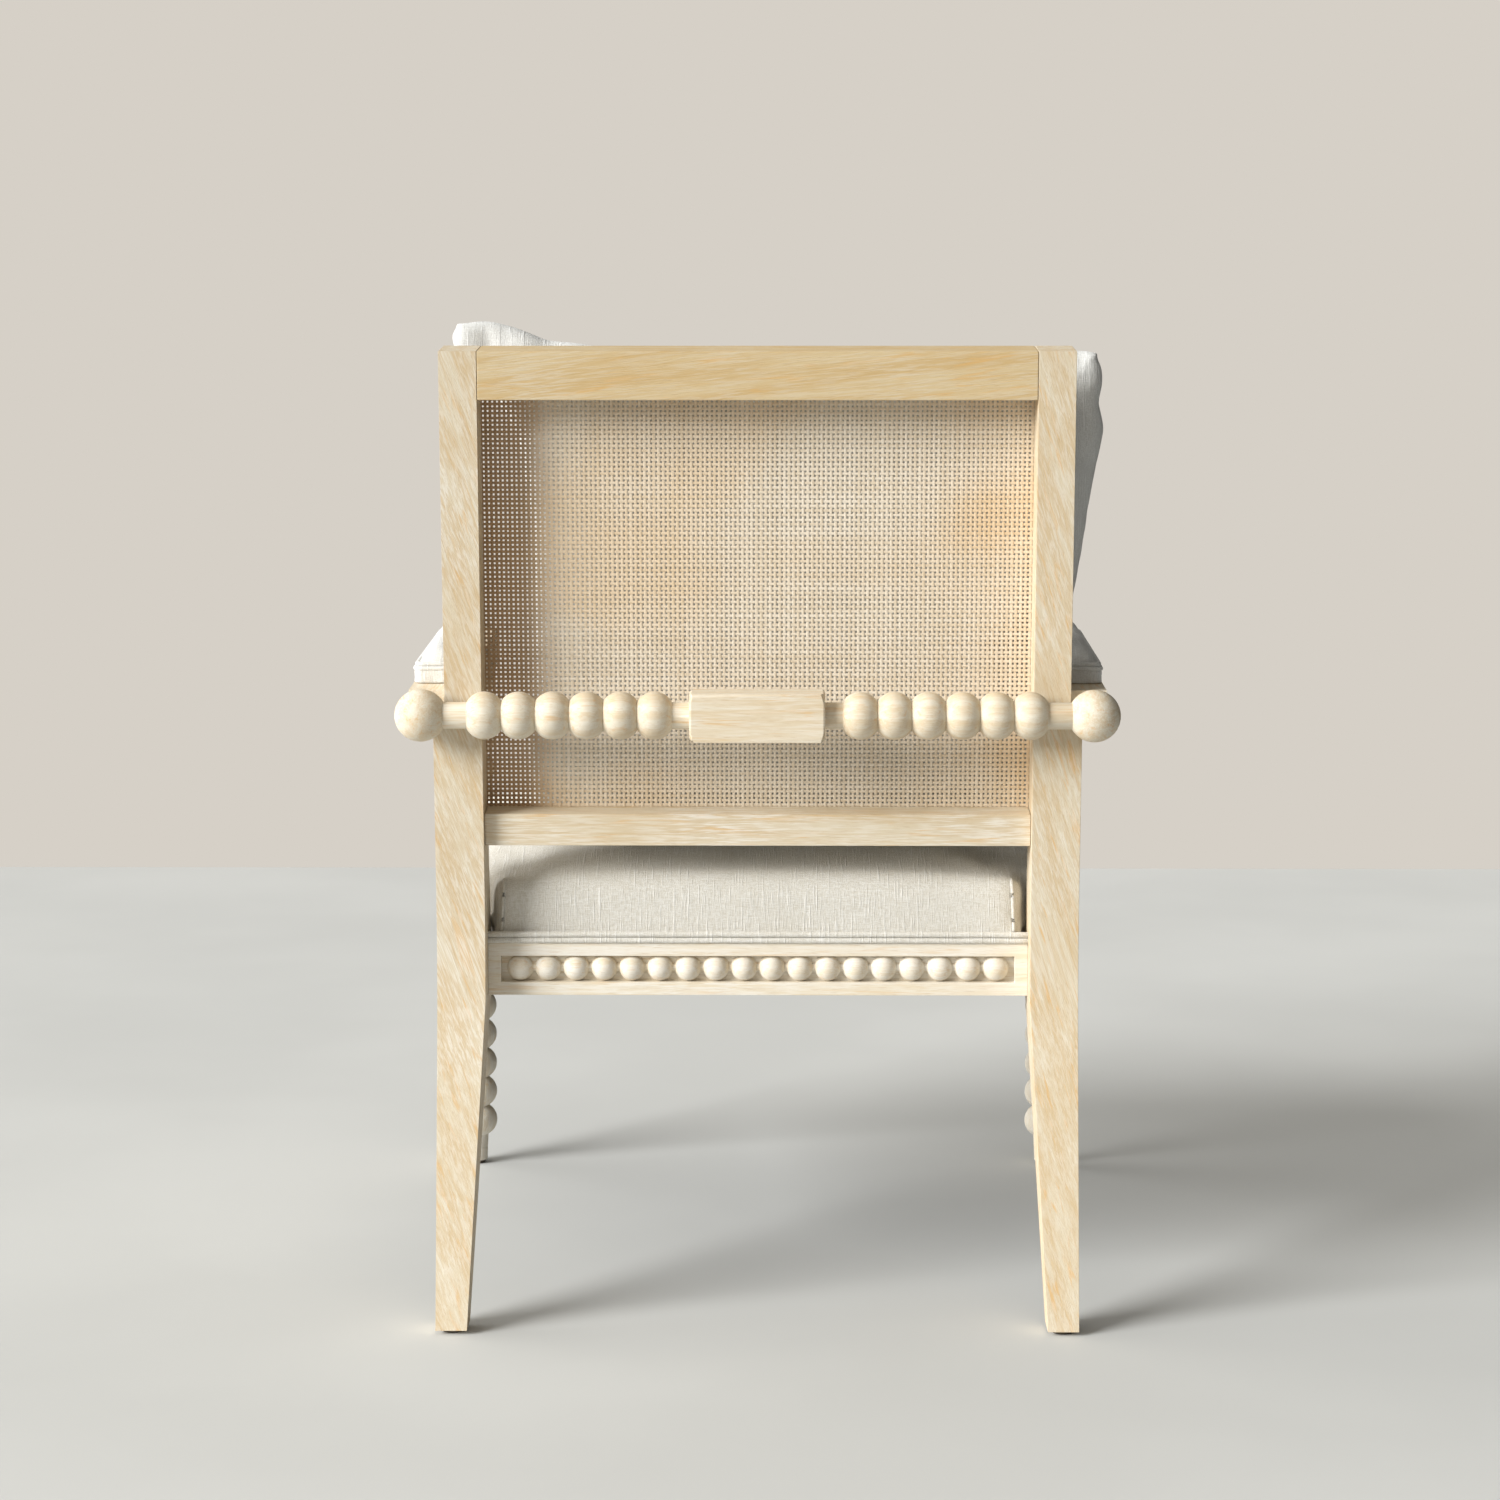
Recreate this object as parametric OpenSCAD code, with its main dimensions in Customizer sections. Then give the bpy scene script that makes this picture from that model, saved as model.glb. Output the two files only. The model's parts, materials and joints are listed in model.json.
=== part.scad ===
// Open armchair in limed oak: bobbin-turned front legs, arm supports and back rail,
// sawn rear legs that carry a raked cane back, a webbed seat, arm pads and a loose cushion.
// Millimetres. +Z is up, the chair faces -Y, and +X is the sitter's left.
// The origin is on the floor, in the middle of the chair's length and width.

/* [Overall] */
// Depth from the front finials to the rear finials
total_depth = 702; // [690:1:720]
// Height of the back frame at its rear edge
back_height = 892; // [870:1:905]
// Half of the width between the inner faces of the rear legs
back_half_gap = 248.5; // [240:0.5:255]
// Backward slope of the back, in degrees
rake = 5.5; // [4:0.5:7]

/* [Rear legs] */
// Width of a rear leg below the arm
leg_w = 44; // [42:1:46]
// Width of the stile above the arm
stile_w = 33.5; // [32:0.5:35]
// Depth of the stile, front to back
stile_d = 50; // [48:1:52]
// Width of the rear foot
foot_w = 28.5; // [26:0.5:32]
// Depth of the rear foot
foot_d = 32; // [28:1:36]
// How far the knee stands in front of the heel
knee_in = 45; // [38:1:50]

/* [Seat] */
// Height of the top of the seat rails
rail_top = 348; // [344:1:352]
// Height of a seat rail
rail_h = 48.6; // [46:0.2:50]
// Thickness of a seat rail
rail_t = 26; // [24:1:28]
// Height of the crown of the seat
seat_crown = 445; // [438:1:448]

/* [Arms] */
// Height of the top of the arm
arm_top = 587; // [580:1:594]
// Height of the arm's section
arm_h = 42; // [40:1:44]
// Width of the arm's section
arm_w = 48; // [46:1:50]
// Distance from the heel of the rear leg to the axis of the arm support
post_back = 605; // [595:1:612]
// Half of the distance between the arm supports
post_x = 310.5; // [308:0.5:314]

/* [Turnings] */
// Radius of the front leg bobbins
bobbin_r = 22; // [21:0.5:22.5]
// Radius of the beads on the back rail
rail_bead_r = 21.5; // [20.5:0.5:22]
// Radius of the ball finials
finial_r = 23.5; // [22.5:0.5:24]
// Radius of the small beads let into the seat rails
small_bead_r = 12.2; // [11.5:0.1:12.4]

/* [Cushions] */
// Height of the arm pad
pad_h = 47; // [46:1:54]
// Thickness of the back cushion at its middle
cushion_t = 140; // [120:1:150]

/* [Hidden] */
$fn = 64;
CUT = 1;
RUNNING = 0.05;
FAR = 1000;

// Colours
OAK = "BurlyWood";
PALE_OAK = "Wheat";
LINEN = "Linen";
STEEL = "Silver";

// Rear legs
heel_y = total_depth / 2 - finial_r;
glide_h = 4;
knee_z = 330;
knee_blend = 70;
knee_steps = 6;
leg_outer = back_half_gap + leg_w;
stile_outer = back_half_gap + stile_w;
rail_bottom = rail_top - rail_h;
joint_d = 56;
joint_y = heel_y - knee_in - joint_d;
joint_over = 3;
stile_foot_u = 84;
shoulder_z = arm_top - 34;
shoulder_h = 8;
shoulder_w = 3;
top_u = (back_height - knee_z) / cos(rake);

// Back frame, measured up the rake from the knee (u) and back from the stile's rear face (v)
top_rail_h = 43.3;
low_rail_u = 112.2;
low_rail_h = 29.5;
low_rail_set = 10;
open_bottom = low_rail_u + low_rail_h;
open_top = top_u - top_rail_h;
cane_v = -43.5;
cane_t = 1.6;
rebate_w = 10;
groove_in = 3;
groove_w = 4;
groove_d = 5;
lip_t = 1;

// Front legs
post_y = heel_y - post_back;
block_half = 23;
block_z0 = rail_bottom - 13.4;
block_z1 = rail_top + 8;
block_turn = 5;
leg_beads = 8;
arm_beads = 6;
foot_top = 32;
foot_r = 12.2;
arm_bottom = arm_top - arm_h;
tenon_r = 12;
tenon_l = 26;

// Seat rails
rail_set = 4;
rear_face_y = heel_y - knee_in - 24;
front_face_y = post_y - block_half + rail_set;
side_rear_x = leg_outer - rail_set;
side_front_x = post_x + block_half - rail_set;
side_front_y = post_y + block_half;
side_run = joint_y - side_front_y;
side_angle = atan((side_front_x - side_rear_x) / side_run);
side_len = side_run / cos(side_angle);
side_skew_t = rail_t / cos(side_angle);
channel_d = 10;
channel_z = rail_bottom + rail_h / 2;
channel_end = 12;
bead_pitch = 2 * small_bead_r + 1.4;
strip_t = 1;

// Arms
finial_z = arm_top - 19.5;
finial_x = leg_outer + 8.5;
arm_rear_y = heel_y - 30;
arm_front_y = post_y - 17;
arm_cut_y = heel_y - 60;
arm_x0 = leg_outer;
arm_y0 = heel_y - 75;
arm_slope = (post_x - arm_x0) / (arm_y0 - post_y);
arm_angle = atan(arm_slope);
neck_r = 12;
neck_seat = 4;
finial_neck_r = 14;
finial_neck_l = 34;
cone_l = 80;
front_finial_y = -heel_y;
arm_screw_y = heel_y - 47;

// Arm pads
pad_y = heel_y - 79;
pad_l = 330;
band_h = 15;
ledge = 5;
board_t = 8;
board_edge = 4;
pad_welt_t = 4.5;

// Fasteners
dowel_r = 4;
dowel_half = 18;
dowel_deep = 17;
end_dowel_rise = 17;
side_dowel_rise = 8;
back_dowel_vs = [-14, -33];
back_dowel_rise = 12;
top_dowel_drop = 18.7;
screw_r = 2.25;
screw_head_r = 4.5;
screw_head_h = 3;
screw_bite = 12;

// Seat
seat_set = 2.5;
gap = 0.4;
layer_gap = 0.1;
web_t = 1.5;
web_w = 50;
web_z = rail_top;
strap_xs = [-170, -85, 0, 85, 170];
strap_ys = [for (i = [0 : 4]) rear_face_y - 90 - i * 92];
strap_in = 9;
tack_r = 1;
tack_in = 10;
tack_head_r = 2.6;
tack_head_h = 0.7;
tack_edge = 6;
tack_spread = 15;
hessian_t = 0.8;
foam_z = web_z + 2 * web_t + tack_head_h + hessian_t + 2 * layer_gap;
cover_t = 6;
foam_top = rail_top + 50;
slack = 0.3;
seat_edge_drop = 33;
seat_mid_y = (rear_face_y + front_face_y) / 2;
seat_half_d = (rear_face_y - front_face_y) / 2;
seat_half_w = 300;
welt_r = 2.75;
block_h = 36;
block_leg = 60;
block_rise = 5;

// Back cushion, placed on the rake
cushion_v = -50.8;
cushion_u = 92.5;
cushion_low_x = 265;
cushion_crown = 45;
cushion_scale = 0.98;

// ---------- Helpers ----------

// A frame whose Z runs up the rake and whose Y runs back from the stile's rear face
module raked() {
    translate([0, heel_y - knee_in, knee_z]) rotate([-rake, 0, 0]) children();
}

// Both sides of the chair
module both_sides() {
    children();
    mirror([1, 0, 0]) children();
}

// A cylinder from the origin along +X
module rod_x(r, l) {
    rotate([0, 90, 0]) cylinder(r = r, h = l);
}

// A cylinder from the origin along +Y
module rod_y(r, l) {
    rotate([-90, 0, 0]) cylinder(r = r, h = l);
}

function rake_y(u, v) = heel_y - knee_in + u * sin(rake) + v * cos(rake);
function rake_z(u, v) = knee_z + u * cos(rake) - v * sin(rake);
function mix(a, b, t) = a * (1 - t) + b * t;
function bend(a, b, c, t) = mix(mix(a, b, t), mix(b, c, t), t);
function arm_x(y) = arm_x0 + (arm_y0 - y) * arm_slope;
function side_x(y) = side_rear_x + (joint_y - y) * tan(side_angle);

// ---------- Rear legs ----------

module leg_side_profile() {
    knee = [heel_y - knee_in, knee_z];
    heel = [heel_y, glide_h];
    below = knee + (heel - knee) * (knee_blend / norm(heel - knee));
    above = [rake_y(knee_blend, 0), rake_z(knee_blend, 0)];
    polygon(concat(
        [[heel_y - foot_d, glide_h], heel],
        [for (i = [0 : knee_steps]) bend(below, knee, above, i / knee_steps)],
        [
            [rake_y(top_u, 0), rake_z(top_u, 0)],
            [rake_y(top_u, -stile_d), rake_z(top_u, -stile_d)],
            [rake_y(stile_foot_u, -stile_d), rake_z(stile_foot_u, -stile_d)],
            [joint_y, rail_top + joint_over],
            [joint_y, rail_bottom - joint_over]
        ]
    ));
}

module leg_front_profile() {
    polygon([
        [leg_outer - foot_w, glide_h],
        [leg_outer, glide_h],
        [leg_outer, shoulder_z - shoulder_h],
        [leg_outer - shoulder_w, shoulder_z],
        [stile_outer, shoulder_z],
        [stile_outer, FAR],
        [back_half_gap, FAR],
        [back_half_gap, rail_bottom]
    ]);
}

module rear_leg_blank() {
    intersection() {
        rotate([90, 0, 90]) linear_extrude(FAR) leg_side_profile();
        translate([0, FAR / 2, 0]) rotate([90, 0, 0]) linear_extrude(FAR) leg_front_profile();
    }
}

// The recess for the cane in the front of the back frame, with its groove
module cane_recess() {
    raked() {
        translate([0, cane_v, 0]) opening_plate(rebate_w, stile_d);
        difference() {
            translate([0, cane_v + groove_d, 0]) opening_plate(groove_in + groove_w, groove_d + CUT);
            translate([0, cane_v + groove_d + CUT, 0]) opening_plate(groove_in, groove_d + 3 * CUT);
        }
    }
}

// A plate over the back opening, wider by edge all round, with its rear face at y = 0
module opening_plate(edge, t) {
    translate([-back_half_gap - edge, -t, open_bottom - edge])
        cube([2 * (back_half_gap + edge), t, open_top - open_bottom + 2 * edge]);
}

module rear_leg_left() {
    color(OAK) difference() {
        rear_leg_blank();
        cane_recess();
        back_dowels(dowel_r + RUNNING, dowel_half + CUT);
        seat_dowels(dowel_r + RUNNING, dowel_half + CUT);
        translate([leg_outer - foot_w / 2, heel_y - foot_d / 2, 0]) glide_pin(RUNNING);
        arm_screw_bore();
    }
}

module rear_leg_right() {
    mirror([1, 0, 0]) rear_leg_left();
}

// ---------- Front legs and arm supports ----------

// Half outline of a run of bobbins from height z0, to be turned about Z
module bobbin_outline(z0, count, pitch) {
    arc_r = 17.7;
    for (i = [0 : count - 1])
        intersection() {
            translate([bobbin_r - arc_r, z0 + (i + 0.5) * pitch]) circle(r = arc_r);
            translate([0, z0 + i * pitch]) square([bobbin_r + CUT, pitch]);
        }
    translate([0, z0]) square([foot_r, count * pitch]);
}

module turned_post() {
    pitch_low = (block_z0 - foot_top) / leg_beads;
    pitch_high = (arm_bottom - block_z1) / arm_beads;
    difference() {
        union() {
            rotate_extrude() {
                polygon([[0, glide_h], [foot_r - 1.2, glide_h], [foot_r, foot_top], [0, foot_top]]);
                bobbin_outline(foot_top, leg_beads, pitch_low);
                bobbin_outline(block_z1, arm_beads, pitch_high);
            }
            translate([0, 0, arm_bottom]) cylinder(r = tenon_r, h = tenon_l);
            square_block();
        }
        rotate_extrude() translate([foot_r + 0.4, foot_top * 0.56]) circle(r = 1.5);
    }
}

// The square block at the seat rails, with its corners turned away at both ends
module square_block() {
    corner_r = block_half * sqrt(2) + CUT;
    intersection() {
        translate([-block_half, -block_half, block_z0])
            cube([2 * block_half, 2 * block_half, block_z1 - block_z0]);
        rotate_extrude() polygon([
            [0, block_z0], [block_half, block_z0], [corner_r, block_z0 + block_turn],
            [corner_r, block_z1 - block_turn], [block_half, block_z1], [0, block_z1]
        ]);
    }
}

module front_leg_left() {
    color(PALE_OAK) difference() {
        translate([post_x, post_y, 0]) turned_post();
        seat_dowels(dowel_r + RUNNING, dowel_half + CUT);
        translate([post_x, post_y, 0]) glide_pin(RUNNING);
    }
}

module front_leg_right() {
    mirror([1, 0, 0]) front_leg_left();
}

// ---------- Seat rails and their bead mouldings ----------

// A channel along X, sunk into a face at y = 0 that looks towards -Y
module channel(length) {
    translate([-length / 2, -CUT, channel_z - small_bead_r])
        cube([length, channel_d + CUT, 2 * small_bead_r]);
}

// A split bead moulding that fills such a channel: a turned string of beads, sawn in half on a thin strip
module bead_moulding(length) {
    count = floor((length - 4 - 2 * small_bead_r) / bead_pitch) + 1;
    string = (count - 1) * bead_pitch;
    translate([0, channel_d, channel_z]) {
        translate([-length / 2, -strip_t, -small_bead_r]) cube([length, strip_t, 2 * small_bead_r]);
        intersection() {
            translate([-length / 2, -strip_t - FAR, -FAR / 2]) cube([length, FAR, FAR]);
            translate([-string / 2, -strip_t, 0]) rotate([0, 90, 0]) rotate_extrude()
                intersection() {
                    translate([0, -small_bead_r]) square([FAR, length]);
                    union() {
                        for (i = [0 : count - 1])
                            translate([0, i * bead_pitch]) circle(r = small_bead_r - 0.02);
                        square([small_bead_r / 3, string]);
                    }
                }
        }
    }
}

rear_channel_l = 2 * (back_half_gap - channel_end);
front_channel_l = 2 * (post_x - block_half - channel_end);
side_channel_l = side_len - 2 * channel_end;

module at_rear_face() {
    translate([0, rear_face_y, 0]) rotate([0, 0, 180]) children();
}

module at_front_face() {
    translate([0, front_face_y, 0]) children();
}

side_face_mid = [(side_rear_x + side_front_x) / 2, (joint_y + side_front_y) / 2, 0];

module at_side_face() {
    translate(side_face_mid) rotate([0, 0, 90 + side_angle]) children();
}

module rear_seat_rail() {
    color(PALE_OAK) difference() {
        translate([-back_half_gap, rear_face_y - rail_t, rail_bottom])
            cube([2 * back_half_gap, rail_t, rail_h]);
        at_rear_face() channel(rear_channel_l);
        rail_bores();
    }
}

module front_seat_rail() {
    color(PALE_OAK) difference() {
        translate([-post_x + block_half, front_face_y, rail_bottom])
            cube([2 * (post_x - block_half), rail_t, rail_h]);
        at_front_face() channel(front_channel_l);
        rail_bores();
    }
}

module side_seat_rail_left() {
    color(PALE_OAK) difference() {
        translate([0, 0, rail_bottom]) linear_extrude(rail_h) polygon([
            [side_rear_x, joint_y],
            [side_front_x, side_front_y],
            [side_front_x - side_skew_t, side_front_y],
            [side_rear_x - side_skew_t, joint_y]
        ]);
        at_side_face() channel(side_channel_l);
        rail_bores();
    }
}

module side_seat_rail_right() {
    mirror([1, 0, 0]) side_seat_rail_left();
}

// Everything bored into the seat rails
module rail_bores() {
    both_sides() {
        seat_dowels(dowel_r + RUNNING, dowel_half + CUT);
        block_screws(RUNNING);
    }
    tacks(RUNNING);
}

module rear_bead_moulding() {
    color(PALE_OAK) at_rear_face() bead_moulding(rear_channel_l);
}

module front_bead_moulding() {
    color(PALE_OAK) at_front_face() bead_moulding(front_channel_l);
}

module side_bead_moulding_left() {
    color(PALE_OAK) at_side_face() bead_moulding(side_channel_l);
}

module side_bead_moulding_right() {
    color(PALE_OAK) translate([-side_face_mid[0], side_face_mid[1], 0])
        rotate([0, 0, -90 - side_angle]) bead_moulding(side_channel_l);
}

// ---------- Back frame ----------

module back_top_rail() {
    color(OAK) difference() {
        raked() translate([-back_half_gap, -stile_d, open_top])
            cube([2 * back_half_gap, stile_d, top_rail_h]);
        cane_recess();
        both_sides() back_dowels(dowel_r + RUNNING, dowel_half + CUT);
    }
}

module back_lower_rail() {
    color(OAK) difference() {
        raked() translate([-back_half_gap, -stile_d, low_rail_u])
            cube([2 * back_half_gap, stile_d - low_rail_set, low_rail_h]);
        cane_recess();
        both_sides() back_dowels(dowel_r + RUNNING, dowel_half + CUT);
    }
}

// The woven sheet, with its edge turned down into the groove
module cane_panel() {
    color("Khaki") raked() {
        translate([0, cane_v, 0]) opening_plate(groove_in + lip_t, cane_t);
        difference() {
            translate([0, cane_v + groove_d - CUT, 0]) opening_plate(groove_in + lip_t, groove_d);
            translate([0, cane_v + groove_d, 0]) opening_plate(groove_in, groove_d + CUT);
        }
    }
}

// The reed that wedges the cane into its groove
module cane_spline() {
    color("Khaki") raked() difference() {
        translate([0, cane_v + groove_d, 0]) opening_plate(groove_in + groove_w, groove_d + 2);
        translate([0, cane_v + groove_d + CUT, 0]) opening_plate(groove_in + lip_t, groove_d + 4);
    }
}

// ---------- Bobbin rail across the back ----------

rail_block_half = 60.4;
rail_block_turn = 4.4;
rail_beads = 6;
rail_arc_r = rail_bead_r - 3.5;
rail_bead_pitch = 30.4;
rail_first_bead = 92;
rail_end_x = finial_x - finial_r + neck_seat;
rail_tenon_r = 7;
rail_tenon_l = 12;

// Half outline of the turned rail, from its middle to one end, to be turned about X
module rail_outline() {
    square([neck_r, rail_end_x]);
    square([rail_tenon_r, rail_end_x + rail_tenon_l]);
    intersection() {
        square([FAR, FAR]);
        for (i = [0 : rail_beads - 1])
            translate([rail_bead_r - rail_arc_r, rail_first_bead + i * rail_bead_pitch]) circle(r = rail_arc_r);
    }
}

module back_bobbin_rail() {
    big = rail_bead_r * sqrt(2) + CUT;
    color(OAK) translate([0, heel_y, finial_z]) rotate([0, 90, 0]) {
        intersection() {
            cube([2 * rail_bead_r, 2 * rail_bead_r, 2 * rail_block_half], center = true);
            rotate_extrude() polygon([
                [0, -rail_block_half], [rail_bead_r, -rail_block_half],
                [big, -rail_block_half + rail_block_turn], [big, rail_block_half - rail_block_turn],
                [rail_bead_r, rail_block_half], [0, rail_block_half]
            ]);
        }
        rotate_extrude() {
            rail_outline();
            mirror([0, 1]) rail_outline();
        }
    }
}

// ---------- Arms ----------

module arm_plan() {
    polygon([
        [stile_outer, arm_rear_y],
        [arm_x(arm_rear_y) + arm_w / 2, arm_rear_y],
        [arm_x(arm_front_y) + arm_w / 2, arm_front_y],
        [arm_x(arm_front_y) - arm_w / 2, arm_front_y],
        [arm_x(arm_cut_y) - arm_w / 2, arm_cut_y],
        [stile_outer, arm_cut_y]
    ]);
}

// Turned end of the arm: a cone that takes the corners off the bar behind a ball
module turned_cone() {
    cylinder(r1 = finial_neck_r, r2 = finial_neck_r + cone_l / 2, h = cone_l);
    translate([0, 0, cone_l]) cylinder(r = FAR / 2, h = FAR);
}

module arm_turned_limit() {
    translate([finial_x, heel_y, finial_z]) rotate([90, 0, 0]) turned_cone();
}

module arm_front_limit() {
    translate([arm_x(front_finial_y), front_finial_y, finial_z]) rotate([-90, 0, 0]) turned_cone();
}

// A ball on its neck; away is 1 for the rear one and -1 for the front one
module finial(x, y, away) {
    translate([x, y, finial_z]) {
        sphere(r = finial_r);
        rotate([90 * away, 0, 0]) cylinder(r = finial_neck_r, h = finial_neck_l);
    }
}

module arm_left() {
    color(OAK) difference() {
        union() {
            intersection() {
                translate([0, 0, arm_bottom]) linear_extrude(arm_h) arm_plan();
                arm_turned_limit();
                arm_front_limit();
            }
            finial(finial_x, heel_y, 1);
            finial(arm_x(front_finial_y), front_finial_y, -1);
        }
        rear_leg_blank();
        translate([rail_end_x - neck_seat * 4, heel_y, finial_z]) rod_x(neck_r + RUNNING, neck_seat * 4);
        translate([rail_end_x - CUT, heel_y, finial_z])
            rod_x(rail_tenon_r + RUNNING, rail_tenon_l + 2 * CUT);
        translate([post_x, post_y, arm_bottom - CUT])
            cylinder(r = tenon_r + RUNNING, h = tenon_l + 2 * CUT);
        arm_screw_bore();
        pad_screws(RUNNING, CUT);
    }
}

module arm_right() {
    mirror([1, 0, 0]) arm_left();
}

arm_screw_r = 3;
arm_screw_head_r = 5.5;
arm_screw_head_h = 4;
arm_screw_in = 24;
arm_screw_seat = 20;
plug_r = 6;

module arm_screw_bore() {
    length = arm_screw_in + arm_screw_seat + 2 * CUT;
    translate([stile_outer, arm_screw_y, finial_z]) {
        translate([-arm_screw_in - CUT, 0, 0]) rod_x(arm_screw_r + RUNNING, length);
        translate([arm_screw_seat, 0, 0]) rod_x(plug_r + RUNNING, arm_w);
    }
}

module arm_screws() {
    color(STEEL) both_sides() translate([stile_outer, arm_screw_y, finial_z]) {
        translate([-arm_screw_in, 0, 0]) rod_x(arm_screw_r, arm_screw_in + arm_screw_seat + CUT);
        translate([arm_screw_seat, 0, 0]) rod_x(arm_screw_head_r, arm_screw_head_h);
    }
}

module arm_screw_plugs() {
    start = stile_outer + arm_screw_seat + arm_screw_head_h;
    color(OAK) both_sides() translate([start, arm_screw_y, finial_z])
        rod_x(plug_r, arm_x(arm_screw_y) + arm_w / 2 - start);
}

// ---------- Arm pads ----------

// A frame on the arm's top with Y running forward along the pad
module on_arm() {
    translate([arm_x(pad_y), pad_y, arm_top]) rotate([0, 0, 180 + arm_angle]) children();
}

module pad_screws(extra, reach) {
    head_z = -arm_h / 2;
    for (y = [pad_l * 0.15, pad_l * 0.85]) on_arm() translate([0, y, 0]) {
        translate([0, 0, head_z]) cylinder(r = screw_r + extra, h = -head_z + board_t - 2 + reach / 2);
        translate([0, 0, head_z - (reach > 0 ? arm_h : screw_head_h)])
            cylinder(r = screw_head_r + 20 * extra, h = reach > 0 ? arm_h : screw_head_h);
    }
}

module arm_pad_screws() {
    color(STEEL) both_sides() pad_screws(0, 0);
}

module arm_pad_board_left() {
    color("Tan") difference() {
        on_arm() translate([-arm_w / 2 + board_edge, board_edge, 0])
            cube([arm_w - 2 * board_edge, pad_l - 2 * board_edge, board_t]);
        pad_screws(RUNNING, CUT);
    }
}

module arm_pad_board_right() {
    mirror([1, 0, 0]) arm_pad_board_left();
}

// Section of the pad: an upright band, a ledge for the welt and a domed top
module pad_section() {
    dome_w = arm_w - 2 * ledge;
    dome_r = dome_w / 2 + 1;
    translate([-arm_w / 2, 0]) square([arm_w, band_h]);
    intersection() {
        translate([-dome_w / 2, 0]) square([dome_w, pad_h]);
        union() {
            translate([0, pad_h - dome_r]) circle(r = dome_r);
            translate([-dome_w / 2, 0]) square([dome_w, pad_h - dome_r]);
        }
    }
}

module arm_pad_left() {
    edge = board_edge - slack;
    color(LINEN) difference() {
        on_arm() translate([0, pad_l, 0]) rotate([90, 0, 0]) linear_extrude(pad_l) pad_section();
        on_arm() translate([-arm_w / 2 + edge, edge, -CUT])
            cube([arm_w - 2 * edge, pad_l - 2 * edge, board_t + slack + CUT]);
    }
}

module arm_pad_right() {
    mirror([1, 0, 0]) arm_pad_left();
}

module arm_pad_welt_left() {
    fit = 0.1;
    color(LINEN) on_arm() translate([0, 0, band_h]) difference() {
        translate([-arm_w / 2, -ledge, 0]) cube([arm_w, pad_l + 2 * ledge, pad_welt_t]);
        translate([-arm_w / 2 + ledge - fit, -fit, -CUT])
            cube([arm_w - 2 * (ledge - fit), pad_l + 2 * fit, pad_welt_t + 2 * CUT]);
    }
}

module arm_pad_welt_right() {
    mirror([1, 0, 0]) arm_pad_welt_left();
}

// ---------- Corner blocks, dowels and screws ----------

front_block_y = front_face_y + rail_t;
rear_block_y = rear_face_y - rail_t;
block_low_z = rail_bottom + block_rise;

module corner_block_pair() {
    inner_front = post_x - block_half;
    translate([0, 0, block_low_z]) linear_extrude(block_h) {
        polygon([
            [back_half_gap - block_leg, rear_block_y],
            [back_half_gap, rear_block_y],
            [back_half_gap, joint_y],
            [side_x(joint_y) - side_skew_t, joint_y],
            [side_x(joint_y - block_leg) - side_skew_t, joint_y - block_leg]
        ]);
        polygon([
            [inner_front - block_leg, front_block_y],
            [side_x(side_front_y + block_leg) - side_skew_t, side_front_y + block_leg],
            [side_x(side_front_y) - side_skew_t, side_front_y],
            [inner_front, side_front_y],
            [inner_front, front_block_y]
        ]);
    }
}

module corner_blocks() {
    color("Tan") both_sides() difference() {
        corner_block_pair();
        block_screws(RUNNING);
        block_screw_sinks();
    }
}

screw_z = block_low_z + block_h / 2;
rear_screw_x = back_half_gap - 28.5;
front_screw_x = post_x - block_half - 32.5;
rear_side_y = joint_y - 39;
front_side_y = side_front_y + 30;

// The four screws of the left side's two blocks, as [point on the seat of the head, turn about Z, reach]
function screw_list() = [
    [[rear_screw_x, rear_block_y - 20, screw_z], 90, 20],
    [[side_x(rear_side_y) - side_skew_t - 18, rear_side_y, screw_z], 0, 18],
    [[front_screw_x, front_block_y + 23, screw_z], -90, 23],
    [[side_x(front_side_y) - side_skew_t - 23, front_side_y, screw_z], 0, 23]
];

module block_screws(extra) {
    for (s = screw_list()) translate(s[0]) rotate([0, 0, s[1]])
        rod_x(screw_r + extra, s[2] + screw_bite + (extra > 0 ? CUT : 0));
}

module block_screw_sinks() {
    for (s = screw_list()) translate(s[0]) rotate([0, 0, s[1] + 180]) rod_x(screw_head_r + CUT, block_leg);
}

module corner_block_screws() {
    color(STEEL) both_sides() {
        block_screws(0);
        for (s = screw_list()) translate(s[0]) rotate([0, 0, s[1] + 180]) rod_x(screw_head_r, screw_head_h);
    }
}

// Dowels of the left side, from the rails into the rear leg and the front block
module seat_dowels(r, half) {
    for (z = [channel_z - end_dowel_rise, channel_z + end_dowel_rise]) {
        translate([back_half_gap - half, rear_face_y - dowel_deep, z]) rod_x(r, 2 * half);
        translate([post_x - block_half - half, front_face_y + dowel_deep, z]) rod_x(r, 2 * half);
    }
    for (z = [channel_z - side_dowel_rise, channel_z + side_dowel_rise]) {
        translate([side_rear_x - dowel_deep, joint_y - half, z]) rod_y(r, 2 * half);
        translate([side_front_x - dowel_deep, side_front_y - half, z]) rod_y(r, 2 * half);
    }
}

module seat_rail_dowels() {
    color("Tan") both_sides() seat_dowels(dowel_r, dowel_half);
}

module back_dowels(r, half) {
    raked() for (v = back_dowel_vs) {
        translate([back_half_gap - half, v, top_u - top_dowel_drop]) rod_x(r, 2 * half);
        translate([back_half_gap - half, v - 2, low_rail_u + back_dowel_rise]) rod_x(r, 2 * half);
    }
}

module back_rail_dowels() {
    color("Tan") both_sides() back_dowels(dowel_r, dowel_half);
}

// ---------- Seat ----------

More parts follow.
